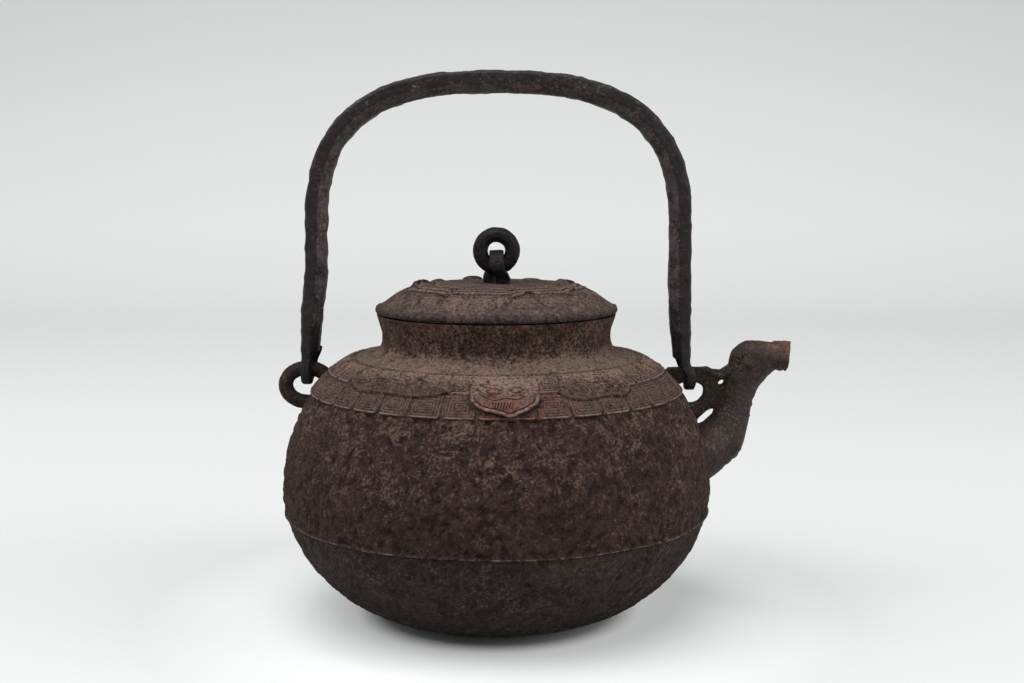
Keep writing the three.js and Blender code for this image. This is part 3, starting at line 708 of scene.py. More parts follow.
def make_mask(name, turn, material):
    """A shield with an animal mask, bent to the slope and the round of the shoulder."""
    line = body_outline(0.0, 8, 300, 4)
    first = next(i for i, p in enumerate(line) if p[1] > SHOULDER_HEIGHT - MASK_DROP)
    spokes, rings = MASK_SPOKES, MASK_RINGS
    edges = [shield_edge(2 * math.pi * j / spokes) for j in range(spokes)]
    edges = [(edges[j - 1] + 2 * edges[j] + edges[(j + 1) % spokes]) / 4 for j in range(spokes)]

    def place_at(across, up, height):
        """A place so far across and up the shoulder from the mask's middle, and above it."""
        i, left = first, up
        step = 1 if up > 0 else -1
        while abs(left) > 1e-9:
            (r0, z0), (r1, z1) = line[i], line[i + step]
            length = math.hypot(r1 - r0, z1 - z0)
            if length >= abs(left):
                break
            left -= math.copysign(length, left)
            i += step
        share = abs(left) / length if abs(left) > 1e-9 else 0.0
        (r0, z0), (r1, z1) = line[i], line[i + step]
        radius, level = r0 + (r1 - r0) * share, z0 + (z1 - z0) * share
        run, rise = (r1 - r0) * step, (z1 - z0) * step
        size = math.hypot(run, rise)
        radius += rise / size * height
        level -= run / size * height
        angle = math.radians(turn - 90) + across / radius
        return radius * math.cos(angle), radius * math.sin(angle), level

    points = [place_at(0.0, 0.0, MASK_THICKNESS - 0.5)]
    masks = [0.3]
    for k in range(1, rings + 1):
        share = k / rings
        for j in range(spokes):
            direction = 2 * math.pi * j / spokes
            reach = edges[j] * share
            across, up = reach * math.cos(direction), reach * math.sin(direction)
            relief, mask = mask_relief(across, up, (1 - share) * edges[j])
            ragged = 1 + 0.045 * cloud(Vector((across, up, 0)), 1.5, 2) * share**6
            slope = 0.55 + 0.45 * smoothstep(11, 1, up)
            height = (MASK_THICKNESS - 0.9) * slope + relief * slope
            points.append(place_at(across * ragged, up * ragged, height))
            masks.append(mask)
    for share, depth in ((1.0, -0.6), (0.5, -1.2)):
        for j in range(spokes):
            direction = 2 * math.pi * j / spokes
            reach = edges[j] * share
            points.append(place_at(reach * math.cos(direction), reach * math.sin(direction), depth))
            masks.append(0.0)
    faces = [(0, 1 + j, 1 + (j + 1) % spokes) for j in range(spokes)]
    for k in range(rings + 1):
        low, high = 1 + k * spokes, 1 + (k + 1) * spokes
        for j in range(spokes):
            n = (j + 1) % spokes
            faces.append((low + j, high + j, high + n, low + n))
    last = 1 + (rings + 1) * spokes
    faces.append(tuple(reversed(range(last, last + spokes))))
    mask = new_piece(name, points, faces, masks)
    finish_piece(mask, "kettle", material)


def lid_rows():
    """The lid's outline: its underside outward, the flange, the rounded rim and up the slope."""
    ceiling = LID_TOP - LID_THICKNESS
    inner = FLANGE_RADIUS - FLANGE_WALL
    under = [
        (0.0, ceiling),
        (12.0, ceiling - 0.1),
        (24.0, ceiling - 0.3),
        (PLATE_RADIUS - LID_THICKNESS, ceiling - 0.6),
        (inner - 2, LID_SEAT + 3.4),
        (inner, LID_SEAT + 0.9),
        (inner, LID_SEAT - FLANGE_DEPTH + 0.4),
        (inner + 0.5, LID_SEAT - FLANGE_DEPTH),
        (FLANGE_RADIUS - 0.5, LID_SEAT - FLANGE_DEPTH),
        (FLANGE_RADIUS, LID_SEAT - FLANGE_DEPTH + 0.4),
        (FLANGE_RADIUS + 0.1, LID_SEAT - 0.2),
        (FLANGE_RADIUS + 0.4, LID_SEAT),
        (LID_RADIUS - 1.2, LID_SEAT),
    ]
    rim = []
    for i in range(9):
        angle = math.radians(-80 + 20 * i)
        out, up = RIM_ROUND * math.cos(angle), RIM_ROUND * math.sin(angle)
        rim.append((LID_RADIUS - RIM_ROUND + out, LID_SEAT + RIM_ROUND + up))
    slope = [
        rim[-1],
        (LID_RADIUS - 4, LID_SEAT + 4.6),
        (PLATE_RADIUS + 4, LID_TOP - PLATE_STEP - 2.2),
        (PLATE_RADIUS, LID_TOP - PLATE_STEP),
        (PLATE_RADIUS - 6, LID_TOP - PLATE_STEP + 0.3),
        (0.6, LID_TOP - PLATE_STEP + 0.5),
    ]
    top = evenly(slope, lambda r, z: LID_STEP if r > FINE_RADIUS else LID_INNER_STEP)
    return [*under, *rim[:-1], *top, (0.0, LID_TOP - PLATE_STEP + 0.5)], len(under)


def plate_rise(x, y):
    """Height of the lid's overlapping plates above the plain slope, and their lightness: a painted highlight on
    each step's top edge and painted shade on its face.
    """
    radius = math.hypot(x, y)
    turn = math.atan2(y, x)
    sides = 9
    sector = 2 * math.pi / sides
    piece = int((turn % (2 * math.pi)) / sector)
    local = (turn % (2 * math.pi)) - (piece + 0.5) * sector
    jog = 0.8 if piece % 2 else -0.8
    apothem = math.cos(sector / 2) * (PLATE_RADIUS + jog)
    away = apothem - radius * math.cos(local)
    wave = 0.35 * math.sin(radius * math.sin(local) * 0.9 + piece)
    height = -0.12
    light = 0.0
    for start, rise in ((0.0, 0.85), (2.9 + 0.4 * (piece % 2), 0.45), (8.5 + piece % 3, 0.35)):
        edge = away + wave - start
        height += rise * smoothstep(-0.15, 0.3, edge)
        # A painted highlight along each step's top edge and painted shade on the step's face below it.
        light += bump(edge - 0.65, 0.6) - 0.9 * bump(edge + 0.35, 0.6)
    seam = bump(abs(local) - sector * 0.47, 0.02) * smoothstep(12, 20, radius)
    return height - 0.3 * seam, min(light - 0.4 * seam, 1.0)


# Low leaves on the lid: degrees round from the front, radius, half length, half width and height
LEAVES = [
    (-72, 36.0, 5.0, 2.4, 1.1),
    (-30, 31.0, 4.0, 1.6, 0.5),
    (14, 30.5, 3.2, 0.9, 0.7),
    (21.5, 37.2, 2.5, 1.2, 1.3),
    (62, 34.5, 4.8, 2.0, 0.6),
    (92, 33.5, 4.4, 2.2, 0.8),
    (118, 34.0, 8.2, 2.7, 1.5),
    (152, 31.5, 4.4, 2.0, 0.7),
    (176, 34.0, 4.0, 2.0, 0.6),
    (200, 32.0, 4.6, 2.5, 1.6),
    (232, 33.0, 3.6, 2.3, 1.0),
    (251, 35.0, 6.0, 3.0, 1.5),
]


def leaf_rise(x, y):
    """Height of the raised leaves, each a low mound with a vein along it."""
    height = 0.0
    for turn, radius, long, wide, rise in LEAVES:
        angle = math.radians(turn - 90)
        away_x, away_y = x - radius * math.cos(angle), y - radius * math.sin(angle)
        along = (-away_x * math.sin(angle) + away_y * math.cos(angle)) / long
        across = (away_x * math.cos(angle) + away_y * math.sin(angle)) / wide
        if abs(along) < 1 and abs(across) < 1:
            shape = max(1 - along**2 - (across * (1 + 0.4 * along)) ** 2, 0.0)
            vein = 0.25 * bump(across, 0.14)
            height = max(height, rise * (shape**0.5 - vein * shape))
    return height


def cad_copy(name, node):
    """A copy of a CAD node's mesh, to shape further."""
    piece = bpy.data.objects.new(name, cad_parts[node].data.copy())
    bpy.context.scene.collection.objects.link(piece)
    return piece


def strap_slot(clearance):
    """The strap as a solid that is larger all round, to cut the lid's slot with."""
    slot = cad_copy("strap_slot", "knob_strap")
    solid = bmesh.new()
    solid.from_mesh(slot.data)
    bmesh.ops.remove_doubles(solid, verts=solid.verts, dist=0.001 * MM)
    solid.to_mesh(slot.data)
    solid.free()
    for vertex, normal in [(v, v.normal.copy()) for v in slot.data.vertices]:
        vertex.co += normal * clearance * MM
    return slot


def make_lid(material):
    """The cast lid: rough slope, small nubs near the rim, and stepped plates with leaves on top."""
    rows, outside_from = lid_rows()
    nubs = [(math.radians(14.4 * k + 3.5 * math.sin(k * 2.3)), LID_RADIUS - 1.1) for k in range(25)]

    def skin(i, angle, place):
        if i < outside_from:
            return 0.05 * cloud(place, 4, 2) - 0.05, 0.0
        radius = rows[i][0]
        x, y = place.x, place.y
        depth, mask = casting_skin(place, 0.3, 0.2, 0.3)
        height = min(depth + 0.3, 0.0)
        mask = 0.55 + (mask - 0.5) * 0.5
        if radius > LID_RADIUS - 2.2:
            height *= 0.6
            mask *= 0.7
        if radius < PLATE_RADIUS + 2:
            rise, light = plate_rise(x, y)
            leaf = leaf_rise(x, y)
            height = height * 0.4 + rise + leaf
            mask = max(0.25 + 0.35 * mask + 0.9 * light - 0.5 * min(leaf, 0.8), 0.0)
        elif radius > LID_RADIUS - 4 and rows[i][1] > LID_SEAT + 1.4:
            for turn, ring in nubs:
                away = math.hypot(x - ring * math.cos(turn), y - ring * math.sin(turn))
                if away < 2:
                    # Each nub also gets a painted highlight.
                    height += 0.55 * bump(away, 0.9)
                    mask += 1.0 * bump(away, 0.6)
        return height, min(mask, 1.4)

    lid = turned_piece("lid_plate", rows, LID_COLUMNS, skin)
    cut(lid, strap_slot(0.3))
    finish_piece(lid, "lid_set", material, "lid")


def spout_ring(share, shrink, around):
    """One section of the spout, or of its channel where it is shrunk by the wall."""
    top_x, top_z, low_x, low_z, half = smooth_point(SPOUT_STATIONS, share)
    top, low, wide = Vector((top_x, 0, top_z)), Vector((low_x, 0, low_z)), half - shrink
    middle = (top + low) / 2
    tall = (top - low) / 2
    tall *= (tall.length - shrink) / tall.length
    ring = []
    for j in range(around):
        angle = 2 * math.pi * j / around
        point = middle + tall * math.sin(angle)
        point.y += wide * math.cos(angle)
        ring.append(point)
    return ring


def spout_channel():
    """The space that water runs through, as a solid to cut with."""
    sections = [spout_ring(i / 24, SPOUT_WALL, 32) for i in range(20)]
    into = [Vector((p.x - 2 * SPOUT_WALL, p.y, p.z - SPOUT_WALL)) for p in sections[0]]
    return solid_tube("channel", [into, *sections])


# Bumps and hollows of the spout's head: place, reach and height, in millimetres
HEAD_FEATURES = [
    ((109.4, 7.0, 111.4), 1.7, 1.3),
    ((109.4, 7.0, 111.4), 3.4, -0.9),
    ((106.0, 6.6, 114.0), 2.6, 1.3),
    ((110.2, 6.4, 114.6), 2.0, 0.9),
    ((103.0, 7.2, 110.0), 2.4, 0.9),
    ((101.0, 6.8, 106.6), 2.2, 0.8),
    ((113.6, 6.4, 109.6), 2.2, -1.0),
    ((117.0, 5.2, 113.6), 1.8, 1.0),
    ((114.0, 5.6, 106.4), 2.4, 0.7),
    ((119.4, 5.6, 108.4), 2.2, -0.8),
    ((105.8, 7.4, 105.6), 2.6, -0.9),
    ((109.0, 6.8, 102.6), 2.4, 0.5),
    ((99.6, 6.6, 99.4), 3.0, -0.6),
    ((95.0, 8.0, 76.0), 4.2, 0.6),
    ((100.6, 8.4, 71.0), 3.6, -0.6),
]


def head_relief(place):
    """The carved features of the spout's head, the same on both sides."""
    depth = 0.0
    for (x, y, z), reach, height in HEAD_FEATURES:
        away = Vector((place.x - x, abs(place.y) - y, place.z - z)).length
        if away < 2 * reach:
            depth += height * bump(away, reach)
    return depth


def spout_skin(place):
    """Depth of the spout's skin: the head's features, a flared lip, and a worn casting's grain."""
    head = 0.45 + 0.55 * smoothstep(88, 100, place.z)
    depth = -0.3 + 0.22 * head * cloud(place, 3.0, 3) + 0.34 * head * cloud(place + Vector((9, 0, 0)), 8, 2)
    depth += head_relief(place)
    top_lip = smoothstep(SPOUT_REACH - 2.6, SPOUT_REACH - 0.8, place.x) * smoothstep(112, 114, place.z)
    low_lip = smoothstep(SPOUT_REACH - 5.2, SPOUT_REACH - 3.0, place.x) * smoothstep(105, 102.6, place.z)
    hollow = bump(place.x - SPOUT_REACH + 6.5, 2.6) * smoothstep(105, 109, place.z)
    return depth + 0.5 * top_lip + 0.9 * low_lip - 0.5 * hollow


def make_spout(material):
    """The animal-head spout, cast on: its root is sunk in the body's wall."""
    steps = 150
    around = 88
    outer = [spout_ring(i / steps, 0.0, around) for i in range(steps + 1)]
    inner = [spout_ring(0.98 - 0.98 * i / 40, SPOUT_WALL, around) for i in range(41)]
    lip = []
    for shrink, back in ((0.3, 0.0), (0.9, 0.05), (1.7, 0.5), (2.4, 1.4)):
        ring = spout_ring(1.0, shrink, around)
        lip.append([Vector((p.x - back, p.y, p.z)) for p in ring])
    middle = SPOUT_REACH - 16
    for section in (*outer, *lip):
        for j, point in enumerate(section):
            side = math.cos(2 * math.pi * j / around) ** 2
            point.x -= 1.3 * side * smoothstep(middle, SPOUT_REACH, point.x) + 0.12
    spout = tube_piece("spout_casting", [*outer, *lip, *inner], joined=True)
    spout.data.flip_normals()
    cut(spout, wall_core("spout_seat", SEAT_DEPTH))
    outside_share = outside_test()
    for vertex, normal in [(v, v.normal.copy()) for v in spout.data.vertices]:
        place = vertex.co / MM
        vertex.co += normal * spout_skin(place) * MM * outside_share(place)
    root = Vector((90, -13, 74))
    # Painted shade in the hollows of the head, lighter on its bumps, and dust round the root.
    mark_raised(spout.data, [
        min(max(0.5 + 0.55 * head_relief(v.co / MM) + 0.6 * bump((v.co / MM - root).length, 9), 0.0), 1.0)
        for v in spout.data.vertices
    ])
    finish_piece(spout, "kettle", material, "spout")


def outside_test():
    """A test that gives 1 for a place on the spout's outer skin and 0 for one in its channel."""
    shares = [i / 24 for i in range(25)]
    middles = [(ring[1] + ring[3]) / 2 for ring in (spout_ring(share, 0.0, 4) for share in shares)]
    rings = [spout_ring(share, SPOUT_WALL * 0.5, 4) for share in shares]

    def outside_share(place):
        flat = Vector((place.x, 0, place.z))
        ring = rings[min(range(25), key=lambda i: (flat - middles[i]).length)]
        away = place - (ring[1] + ring[3]) / 2
        tall = (ring[1] - ring[3]).length / 2
        wide = (ring[0] - ring[2]).length / 2
        up = away.dot((ring[1] - ring[3]).normalized())
        return 1.0 if (up / tall) ** 2 + (away.y / wide) ** 2 > 1 else 0.0

    return outside_share


def make_left_lug(material):
    """The plain ring lug, an oval of bent bar whose inner side is sunk in the shoulder."""
    sections = []
    for i in range(120):
        angle = 2 * math.pi * i / 120
        long, tall = LEFT_LUG["long"], LEFT_LUG["tall"]
        middle = Vector((LEFT_LUG["x"] + long * math.cos(angle), 0, LEFT_LUG["z"] + tall * math.sin(angle)))
        out = Vector((tall * math.cos(angle), 0, long * math.sin(angle))).normalized()
        section = []
        for j in range(36):
            turn = 2 * math.pi * j / 36
            point = middle + out * (LEFT_LUG["bar"] * math.cos(turn))
            point.y += LEFT_LUG["bar"] * math.sin(turn)
            point += (point - middle).normalized() * (0.16 * cloud(point, 4, 3) - 0.14)
            section.append(point)
        sections.append(section)
    lug = tube_piece("left_lug_ring", sections, joined=True)
    cut(lug, wall_core("left_lug_seat", SEAT_DEPTH))
    finish_piece(lug, "kettle", material, "left_lug")


def hole_cutter(name, hole):
    """A solid oval pin across the bracket, to cut a hole with."""
    turn = math.radians(hole["turn"])
    sections = []
    for y in (-8.0, 8.0):
        section = []
        for j in range(40):
            angle = 2 * math.pi * j / 40
            x, z = hole["half_x"] * math.cos(angle), hole["half_z"] * math.sin(angle)
            across = x * math.cos(turn) - z * math.sin(turn)
            up = x * math.sin(turn) + z * math.cos(turn)
            section.append(Vector((hole["x"] + across, y, hole["z"] + up)))
        sections.append(section)
    return solid_tube(name, sections)


def bracket_skin(place):
    """Depth of the bracket's skin, lower on the bar so that the bail's eye swings clear of it."""
    bar = smoothstep(90, 87, place.x) * smoothstep(93, 96, place.z)
    rough = 0.26 * cloud(place, 3.2, 3) + 0.3 * cloud(place, 8, 2)
    return 0.05 - 0.42 * bar + rough * (1 - 0.8 * bar)


def make_right_lug(material):
    """The pierced bracket between the shoulder and the spout's neck."""
    half = BRACKET_THICKNESS / 2
    sides = [[Vector((x, y, z)) for x, z in BRACKET_OUTLINE] for y in (-half, half)]
    bracket = solid_tube("right_lug_bracket", sides)
    for side in (-1, 1):
        join(bracket, horn_strand(side))
    for name, hole in (("eye_hole", EYE_HOLE), ("small_hole", SMALL_HOLE), ("slot_hole", SLOT_HOLE)):
        cut(bracket, hole_cutter(name, hole))
    rework(bracket, BRACKET_GRID, 7, bracket_skin)
    cut(bracket, wall_core("bracket_seat", SEAT_DEPTH))
    cut(bracket, spout_core())
    finish_piece(bracket, "kettle", material, "right_lug")


def horn_strand(side):
    """A tapering strand like a swept-back horn, from the bracket's face to the spout's head."""
    sections = []
    for i in range(25):
        share = i / 24
        x, z = smooth_point(HORN_PATH, share)
        middle = Vector((x, 0, z))
        middle.y = side * (BRACKET_THICKNESS / 2 - 0.4 + 2.2 * smoothstep(0.5, 1.0, share))
        radius = 1.0 + 0.9 * share
        section = []
        for j in range(12):
            turn = 2 * math.pi * j / 12
            section.append(middle + Vector((0, radius * math.cos(turn), radius * math.sin(turn))))
        sections.append(section)
    return tube_piece("strand", sections, joined=False)


def spout_core():
    """The spout's inside, grown into half of its wall, so that the bracket stops within the wall."""
    sections = [spout_ring(i / 24, SPOUT_WALL * 0.5, 32) for i in range(25)]
    return solid_tube("spout_core", sections)


def forged_copy(name, node, grid, smoothing, depth_at):
    """A CAD piece with worn edges and a forged skin pressed into it."""
    piece = cad_copy(name, node)
    rework(piece, grid, smoothing, depth_at)
    return piece


def make_handle(material):
    """The forged bail: hammered faces, wavy corners and pitted skin."""

    def hammered(place):
        """Depth of the hammered skin, lower in the eyes so that they swing clear of the lugs."""
        blows = crackle(place + Vector((0, 0, 13)), 11)
        depth = -0.5 * blows + 0.34 * cloud(place, 7.5, 2) + 0.12 * cloud(place, 2.4, 2)
        eye = smoothstep(114, 110, place.z)
        return min(depth, 0.15 - 0.3 * eye)

    piece = forged_copy("bail_handle", "handle", HANDLE_GRID, 2, hammered)
    # worn marks the inner facets near the arch's top, which the material paints in the pale worn colour: a
    # painted reflection of the floor, over a random tone.
    worn = []
    for place, normal in [(v.co / MM, v.normal.copy()) for v in piece.data.vertices]:
        inward = Vector((-place.x, 0, min(130 - place.z, 0.0))).normalized()
        facet = smoothstep(0.25, 0.6, normal.dot(inward)) * smoothstep(112, 125, place.z)
        worn.append(0.5 + 0.3 * cloud(place, 6, 3) + 0.7 * facet)
    mark_raised(piece.data, worn)
    for vertex in piece.data.vertices:
        vertex.co.z = min(vertex.co.z, HANDLE_TOP * MM)
    finish_piece(piece, "bail", material, "handle")


def make_knob(material):
    """The strap and its ring, worn smooth by hands."""

    def worn(place):
        return -0.04 + 0.15 * cloud(place, 3.4, 3)

    strap = forged_copy("knob_strap_forged", "knob_strap", KNOB_GRID, 4, worn)
    wider = [(v, v.normal.x) for v in strap.data.vertices if v.co.z > (LID_TOP + 1) * MM]
    for vertex, side in wider:
        vertex.co.x += 0.3 * MM * side
    finish_piece(strap, "lid_set", material, "knob_strap")
    ring = forged_copy("knob_ring_forged", "knob_ring", KNOB_GRID, 4, worn)
    finish_piece(ring, "ring", material, "knob_ring")


class Maker:
    """Short calls for the nodes of one node tree."""

    def __init__(self, tree):
        self.tree = tree
        self.nodes = tree.nodes

    def join(self, source, target):
        """Leads an output, a number or a colour to an input."""
        if isinstance(source, (int, float)):
            target.default_value = source
        elif isinstance(source, tuple):
            target.default_value = (*source, 1)
        else:
            self.tree.links.new(source, target)

    def noise(self, place, scale, detail=3.0, rough=0.6):
        node = self.nodes.new("ShaderNodeTexNoise")
        node.inputs["Detail"].default_value = detail
        node.inputs["Roughness"].default_value = rough
        self.join(scale, node.inputs["Scale"])
        self.join(place, node.inputs["Vector"])
        return node.outputs["Fac"]

    def cells(self, place, scale):
        node = self.nodes.new("ShaderNodeTexVoronoi")
        self.join(scale, node.inputs["Scale"])
        self.join(place, node.inputs["Vector"])
        return node.outputs["Distance"]

    def ramp(self, source, low, high, start=0.0, end=1.0):
        node = self.nodes.new("ShaderNodeMapRange")
        self.join(source, node.inputs["Value"])
        for name, value in (("From Min", low), ("From Max", high), ("To Min", start), ("To Max", end)):
            self.join(value, node.inputs[name])
        return node.outputs["Result"]

    def math(self, kind, first, second, clamp=False):
        node = self.nodes.new("ShaderNodeMath")
        node.operation = kind
        node.use_clamp = clamp
        self.join(first, node.inputs[0])
        self.join(second, node.inputs[1])
        return node.outputs[0]

    def add(self, *values):
        total = values[0]
        for value in values[1:]:
            total = self.math("ADD", total, value)
        return total

    def object_place(self):
        """The place on the object, whole and as its three parts."""
        place = self.nodes.new("ShaderNodeTexCoord").outputs["Object"]
        parts = self.nodes.new("ShaderNodeSeparateXYZ")
        self.join(place, parts.inputs[0])
        return place, parts.outputs

    def mix(self, factor, first, second):
        node = self.nodes.new("ShaderNodeMix")
        node.data_type = "RGBA"
        self.join(factor, node.inputs[0])
        self.join(first, node.inputs[6])
        self.join(second, node.inputs[7])
        return node.outputs[2]


def iron_skin_group():
    """Old iron: dark pits and painted shade in the hollows, brown skin, dust on what stands up, rust spots, and
    the skin's grain.
    """
    group = bpy.data.node_groups.new("iron_skin", "ShaderNodeTree")
    for label, kind, value in (
        ("Pit And Shade", "NodeSocketColor", (*DEEP_BROWN, 1)),
        ("Skin", "NodeSocketColor", (*WARM_BROWN, 1)),
        ("Dust", "NodeSocketColor", (*DUST, 1)),
        ("Rust", "NodeSocketColor", (*RUST, 1)),
        ("Worn", "NodeSocketColor", (*WORN_GREY, 1)),
        ("Dust Amount", "NodeSocketFloat", 0.3),
        ("Rust Amount", "NodeSocketFloat", 0.3),
        ("Raised", "NodeSocketFloat", 0.5),
        ("Grain Size", "NodeSocketFloat", 900.0),
    ):
        group.interface.new_socket(label, in_out="INPUT", socket_type=kind).default_value = value
    group.interface.new_socket("Color", in_out="OUTPUT", socket_type="NodeSocketColor")
    for label in ("Roughness", "Height"):
        group.interface.new_socket(label, in_out="OUTPUT", socket_type="NodeSocketFloat")
    make = Maker(group)
    entry = make.nodes.new("NodeGroupInput").outputs
    leave = make.nodes.new("NodeGroupOutput").inputs
    place = make.nodes.new("ShaderNodeTexCoord").outputs["Object"]

    broad = make.noise(place, 45, 4)
    patch = make.noise(place, 140, 4, 0.6)
    lean = make.nodes.new("ShaderNodeMapping")
    lean.inputs["Rotation"].default_value = (0.0, 0.6, 0.0)
    lean.inputs["Scale"].default_value = (1.0, 1.0, 0.75)
    make.join(place, lean.inputs["Vector"])
    middle = make.noise(lean.outputs["Vector"], 420, 5, 0.72)
    grain = make.noise(place, entry["Grain Size"], 4, 0.7)
    spots = make.noise(place, 170, 4, 0.7)
    fine = make.noise(place, 760, 4, 0.7)
    pits = make.cells(place, 560)

    # Where Raised is low the colour turns towards the dark pit colour: painted shade in hollows and grooves, as
    # well as dark speckle from the grain.
    raised = make.ramp(entry["Raised"], 0.0, 1.0, -0.35, 0.55)
    speckle = make.add(make.ramp(middle, 0.38, 0.62, 0.0, 0.44), make.ramp(grain, 0.38, 0.62, 0.0, 0.5))
    tone = make.math("ADD", speckle, raised, True)
    colour = make.mix(tone, entry["Pit And Shade"], entry["Skin"])
    lie = make.add(
        make.ramp(patch, 0.35, 0.65, -0.05, 0.05),
        make.ramp(broad, 0.35, 0.65, -0.04, 0.04),
        make.ramp(entry["Raised"], 0.0, 1.0, -0.12, 0.10),
        make.ramp(entry["Dust Amount"], 0.0, 1.0, -0.17, 0.16),
    )
    covered = make.ramp(make.add(grain, lie), 0.46, 0.76, 0.0, 0.85)
    colour = make.mix(covered, colour, entry["Dust"])
    rusty = make.add(
        make.ramp(spots, 0.4, 0.6, -0.05, 0.05),
        make.ramp(entry["Rust Amount"], 0.0, 1.0, -0.16, 0.14),
    )
    rusty = make.ramp(make.add(fine, rusty), 0.5, 0.68, 0.0, 0.8)
    colour = make.mix(rusty, colour, entry["Rust"])
    broken = make.ramp(grain, 0.35, 0.65, -0.3, 0.3)
    edges = make.math("ADD", make.ramp(entry["Raised"], 1.0, 1.4), broken, True)
    edges = make.math("MULTIPLY", edges, make.ramp(entry["Raised"], 0.95, 1.1, 0.0, 0.85))
    colour = make.mix(edges, colour, entry["Worn"])
    make.join(colour, leave["Color"])
    make.join(make.ramp(middle, 0.3, 0.7, 0.0, 1.0), leave["Roughness"])
    hollow = make.math("MULTIPLY", make.ramp(pits, 0.0, 0.45), 0.6)
    bumps = make.add(make.math("MULTIPLY", grain, 1.1), make.math("MULTIPLY", middle, 1.6))
    make.join(make.add(bumps, hollow), leave["Height"])
    return group


def iron(
    name, group, skin, pit_and_shade=DEEP_BROWN, worn=WORN_GREY, raised=False, dust=0.3, rust=0.1, grain=900.0,
    by_height=None, low_skin=None, tint=None, relief=0.9, roughness=(0.6, 0.92), metallic=0.0, specular=0.14,
):
    """A material of old iron. What isn't given is as on a plain brown casting.

    by_height gives an amount by steps of (low, high, amount at low, amount at high) in millimetres,
    low_skin another colour up to a height, and tint one within (axis, start, end) bounds.
    """
    material = bpy.data.materials.new(name)
    material.use_nodes = True
    make = Maker(material.node_tree)
    surface = make.nodes["Principled BSDF"]
    shade = make.nodes.new("ShaderNodeGroup")
    shade.node_tree = group
    place, parts = make.object_place()
    for label, value in (
        ("Skin", skin), ("Pit And Shade", pit_and_shade), ("Worn", worn),
        ("Rust Amount", rust), ("Grain Size", grain), ("Dust Amount", dust),
    ):
        make.join(value, shade.inputs[label])
    if raised:
        stored = make.nodes.new("ShaderNodeAttribute")
        stored.attribute_name = "raised"
        make.join(stored.outputs["Fac"], shade.inputs["Raised"])
    for label, steps in (by_height or {}).items():
        amount = None
        for low, high, least, most in steps:
            ramp = make.ramp(parts["Z"], low * MM, high * MM, least, most)
            amount = ramp if amount is None else make.math("MULTIPLY", amount, ramp)
        make.join(amount, shade.inputs[label])
    if low_skin:
        below, low, high = low_skin
        change = make.ramp(parts["Z"], low * MM, high * MM)
        make.join(make.mix(change, below, skin), shade.inputs["Skin"])
    if tint:
        colour, bounds = tint
        reach = make.ramp(make.noise(place, 230, 4, 0.65), 0.38, 0.62)
        for axis, start, end in bounds:
            reach = make.math("MULTIPLY", reach, make.ramp(parts[axis], start * MM, end * MM))
        make.join(make.mix(reach, skin, colour), shade.inputs["Skin"])
    grainy = make.nodes.new("ShaderNodeBump")
    grainy.inputs["Strength"].default_value = relief
    grainy.inputs["Distance"].default_value = 0.8 * MM
    make.join(shade.outputs["Height"], grainy.inputs["Height"])
    make.join(grainy.outputs["Normal"], surface.inputs["Normal"])
    make.join(shade.outputs["Color"], surface.inputs["Base Color"])
    make.join(make.ramp(shade.outputs["Roughness"], 0.0, 1.0, *roughness), surface.inputs["Roughness"])
    surface.inputs["Metallic"].default_value = metallic
    surface.inputs["Specular IOR Level"].default_value = specular
    return material


def make_stage():
    """A pale sweep: a floor that turns up into a backdrop, a little brighter to the camera, with a ring of
    painted light on the floor round the kettle's foot.
    """
    material = bpy.data.materials.new("pale_paper")
    material.use_nodes = True
    make = Maker(material.node_tree)
    surface = make.nodes["Principled BSDF"]
    surface.inputs["Roughness"].default_value = 0.9
    surface.inputs["Specular IOR Level"].default_value = 0.1
    seen = make.nodes.new("ShaderNodeLightPath").outputs["Is Camera Ray"]
    surface.inputs["Emission Color"].default_value = (0.985, 1.0, 0.995, 1)
    place, parts = make.object_place()
    paper = make.mix(make.ramp(parts["Z"], 0.25, 1.2), PAPER_SEEN, PAPER_HIGH)
    make.join(make.mix(seen, PAPER_LIT, paper), surface.inputs["Base Color"])
    away = make.nodes.new("ShaderNodeVectorMath")
    away.operation = "LENGTH"
    make.join(place, away.inputs[0])
    distance = away.outputs["Value"]
    back = make.math(
        "MULTIPLY", make.ramp(parts["Y"], 0.1, 1.6, 0.0, 0.28), make.ramp(parts["Z"], 0.1, 1.1, 1.0, 0.05)
    )
    # A ring of painted light on the floor round the kettle's foot, seen by the camera only, so that the shadow
    # under the kettle stays tight.
    near = make.math(
        "MULTIPLY", make.ramp(distance, 0.05, 0.06), make.ramp(distance, 0.062, 0.15, 0.28, 0.0)
    )
    glow = make.math("MULTIPLY", seen, make.add(back, near))
    make.join(glow, surface.inputs["Emission Strength"])
    half = 3.0
    sweep_start = 1.2
    radius = 0.8
    steps = 16
    line = [(-half, 0.0), (sweep_start, 0.0)]
    for i in range(1, steps + 1):
        angle = math.pi / 2 * i / steps
        line.append((sweep_start + radius * math.sin(angle), radius * (1 - math.cos(angle))))
    line.append((sweep_start + radius, half))
    points = [(x / MM, y / MM, z / MM) for y, z in line for x in (-half, half)]
    faces = [(2 * i, 2 * i + 1, 2 * i + 3, 2 * i + 2) for i in range(len(line) - 1)]
    sweep = new_piece("sweep", points, faces)
    sweep.data.materials.append(material)


def make_light(name, place, aim, size, power):
    data = bpy.data.lights.new(name, "AREA")
    data.shape = "RECTANGLE"
    data.size, data.size_y = size
    data.energy = power
    lamp = bpy.data.objects.new(name, data)
    lamp.location = place
    offset = [a - p for a, p in zip(aim, place)]
    flat = math.hypot(offset[0], offset[1])
    lamp.rotation_euler = (math.atan2(flat, -offset[2]), 0, math.atan2(-offset[0], offset[1]))
    bpy.context.scene.collection.objects.link(lamp)


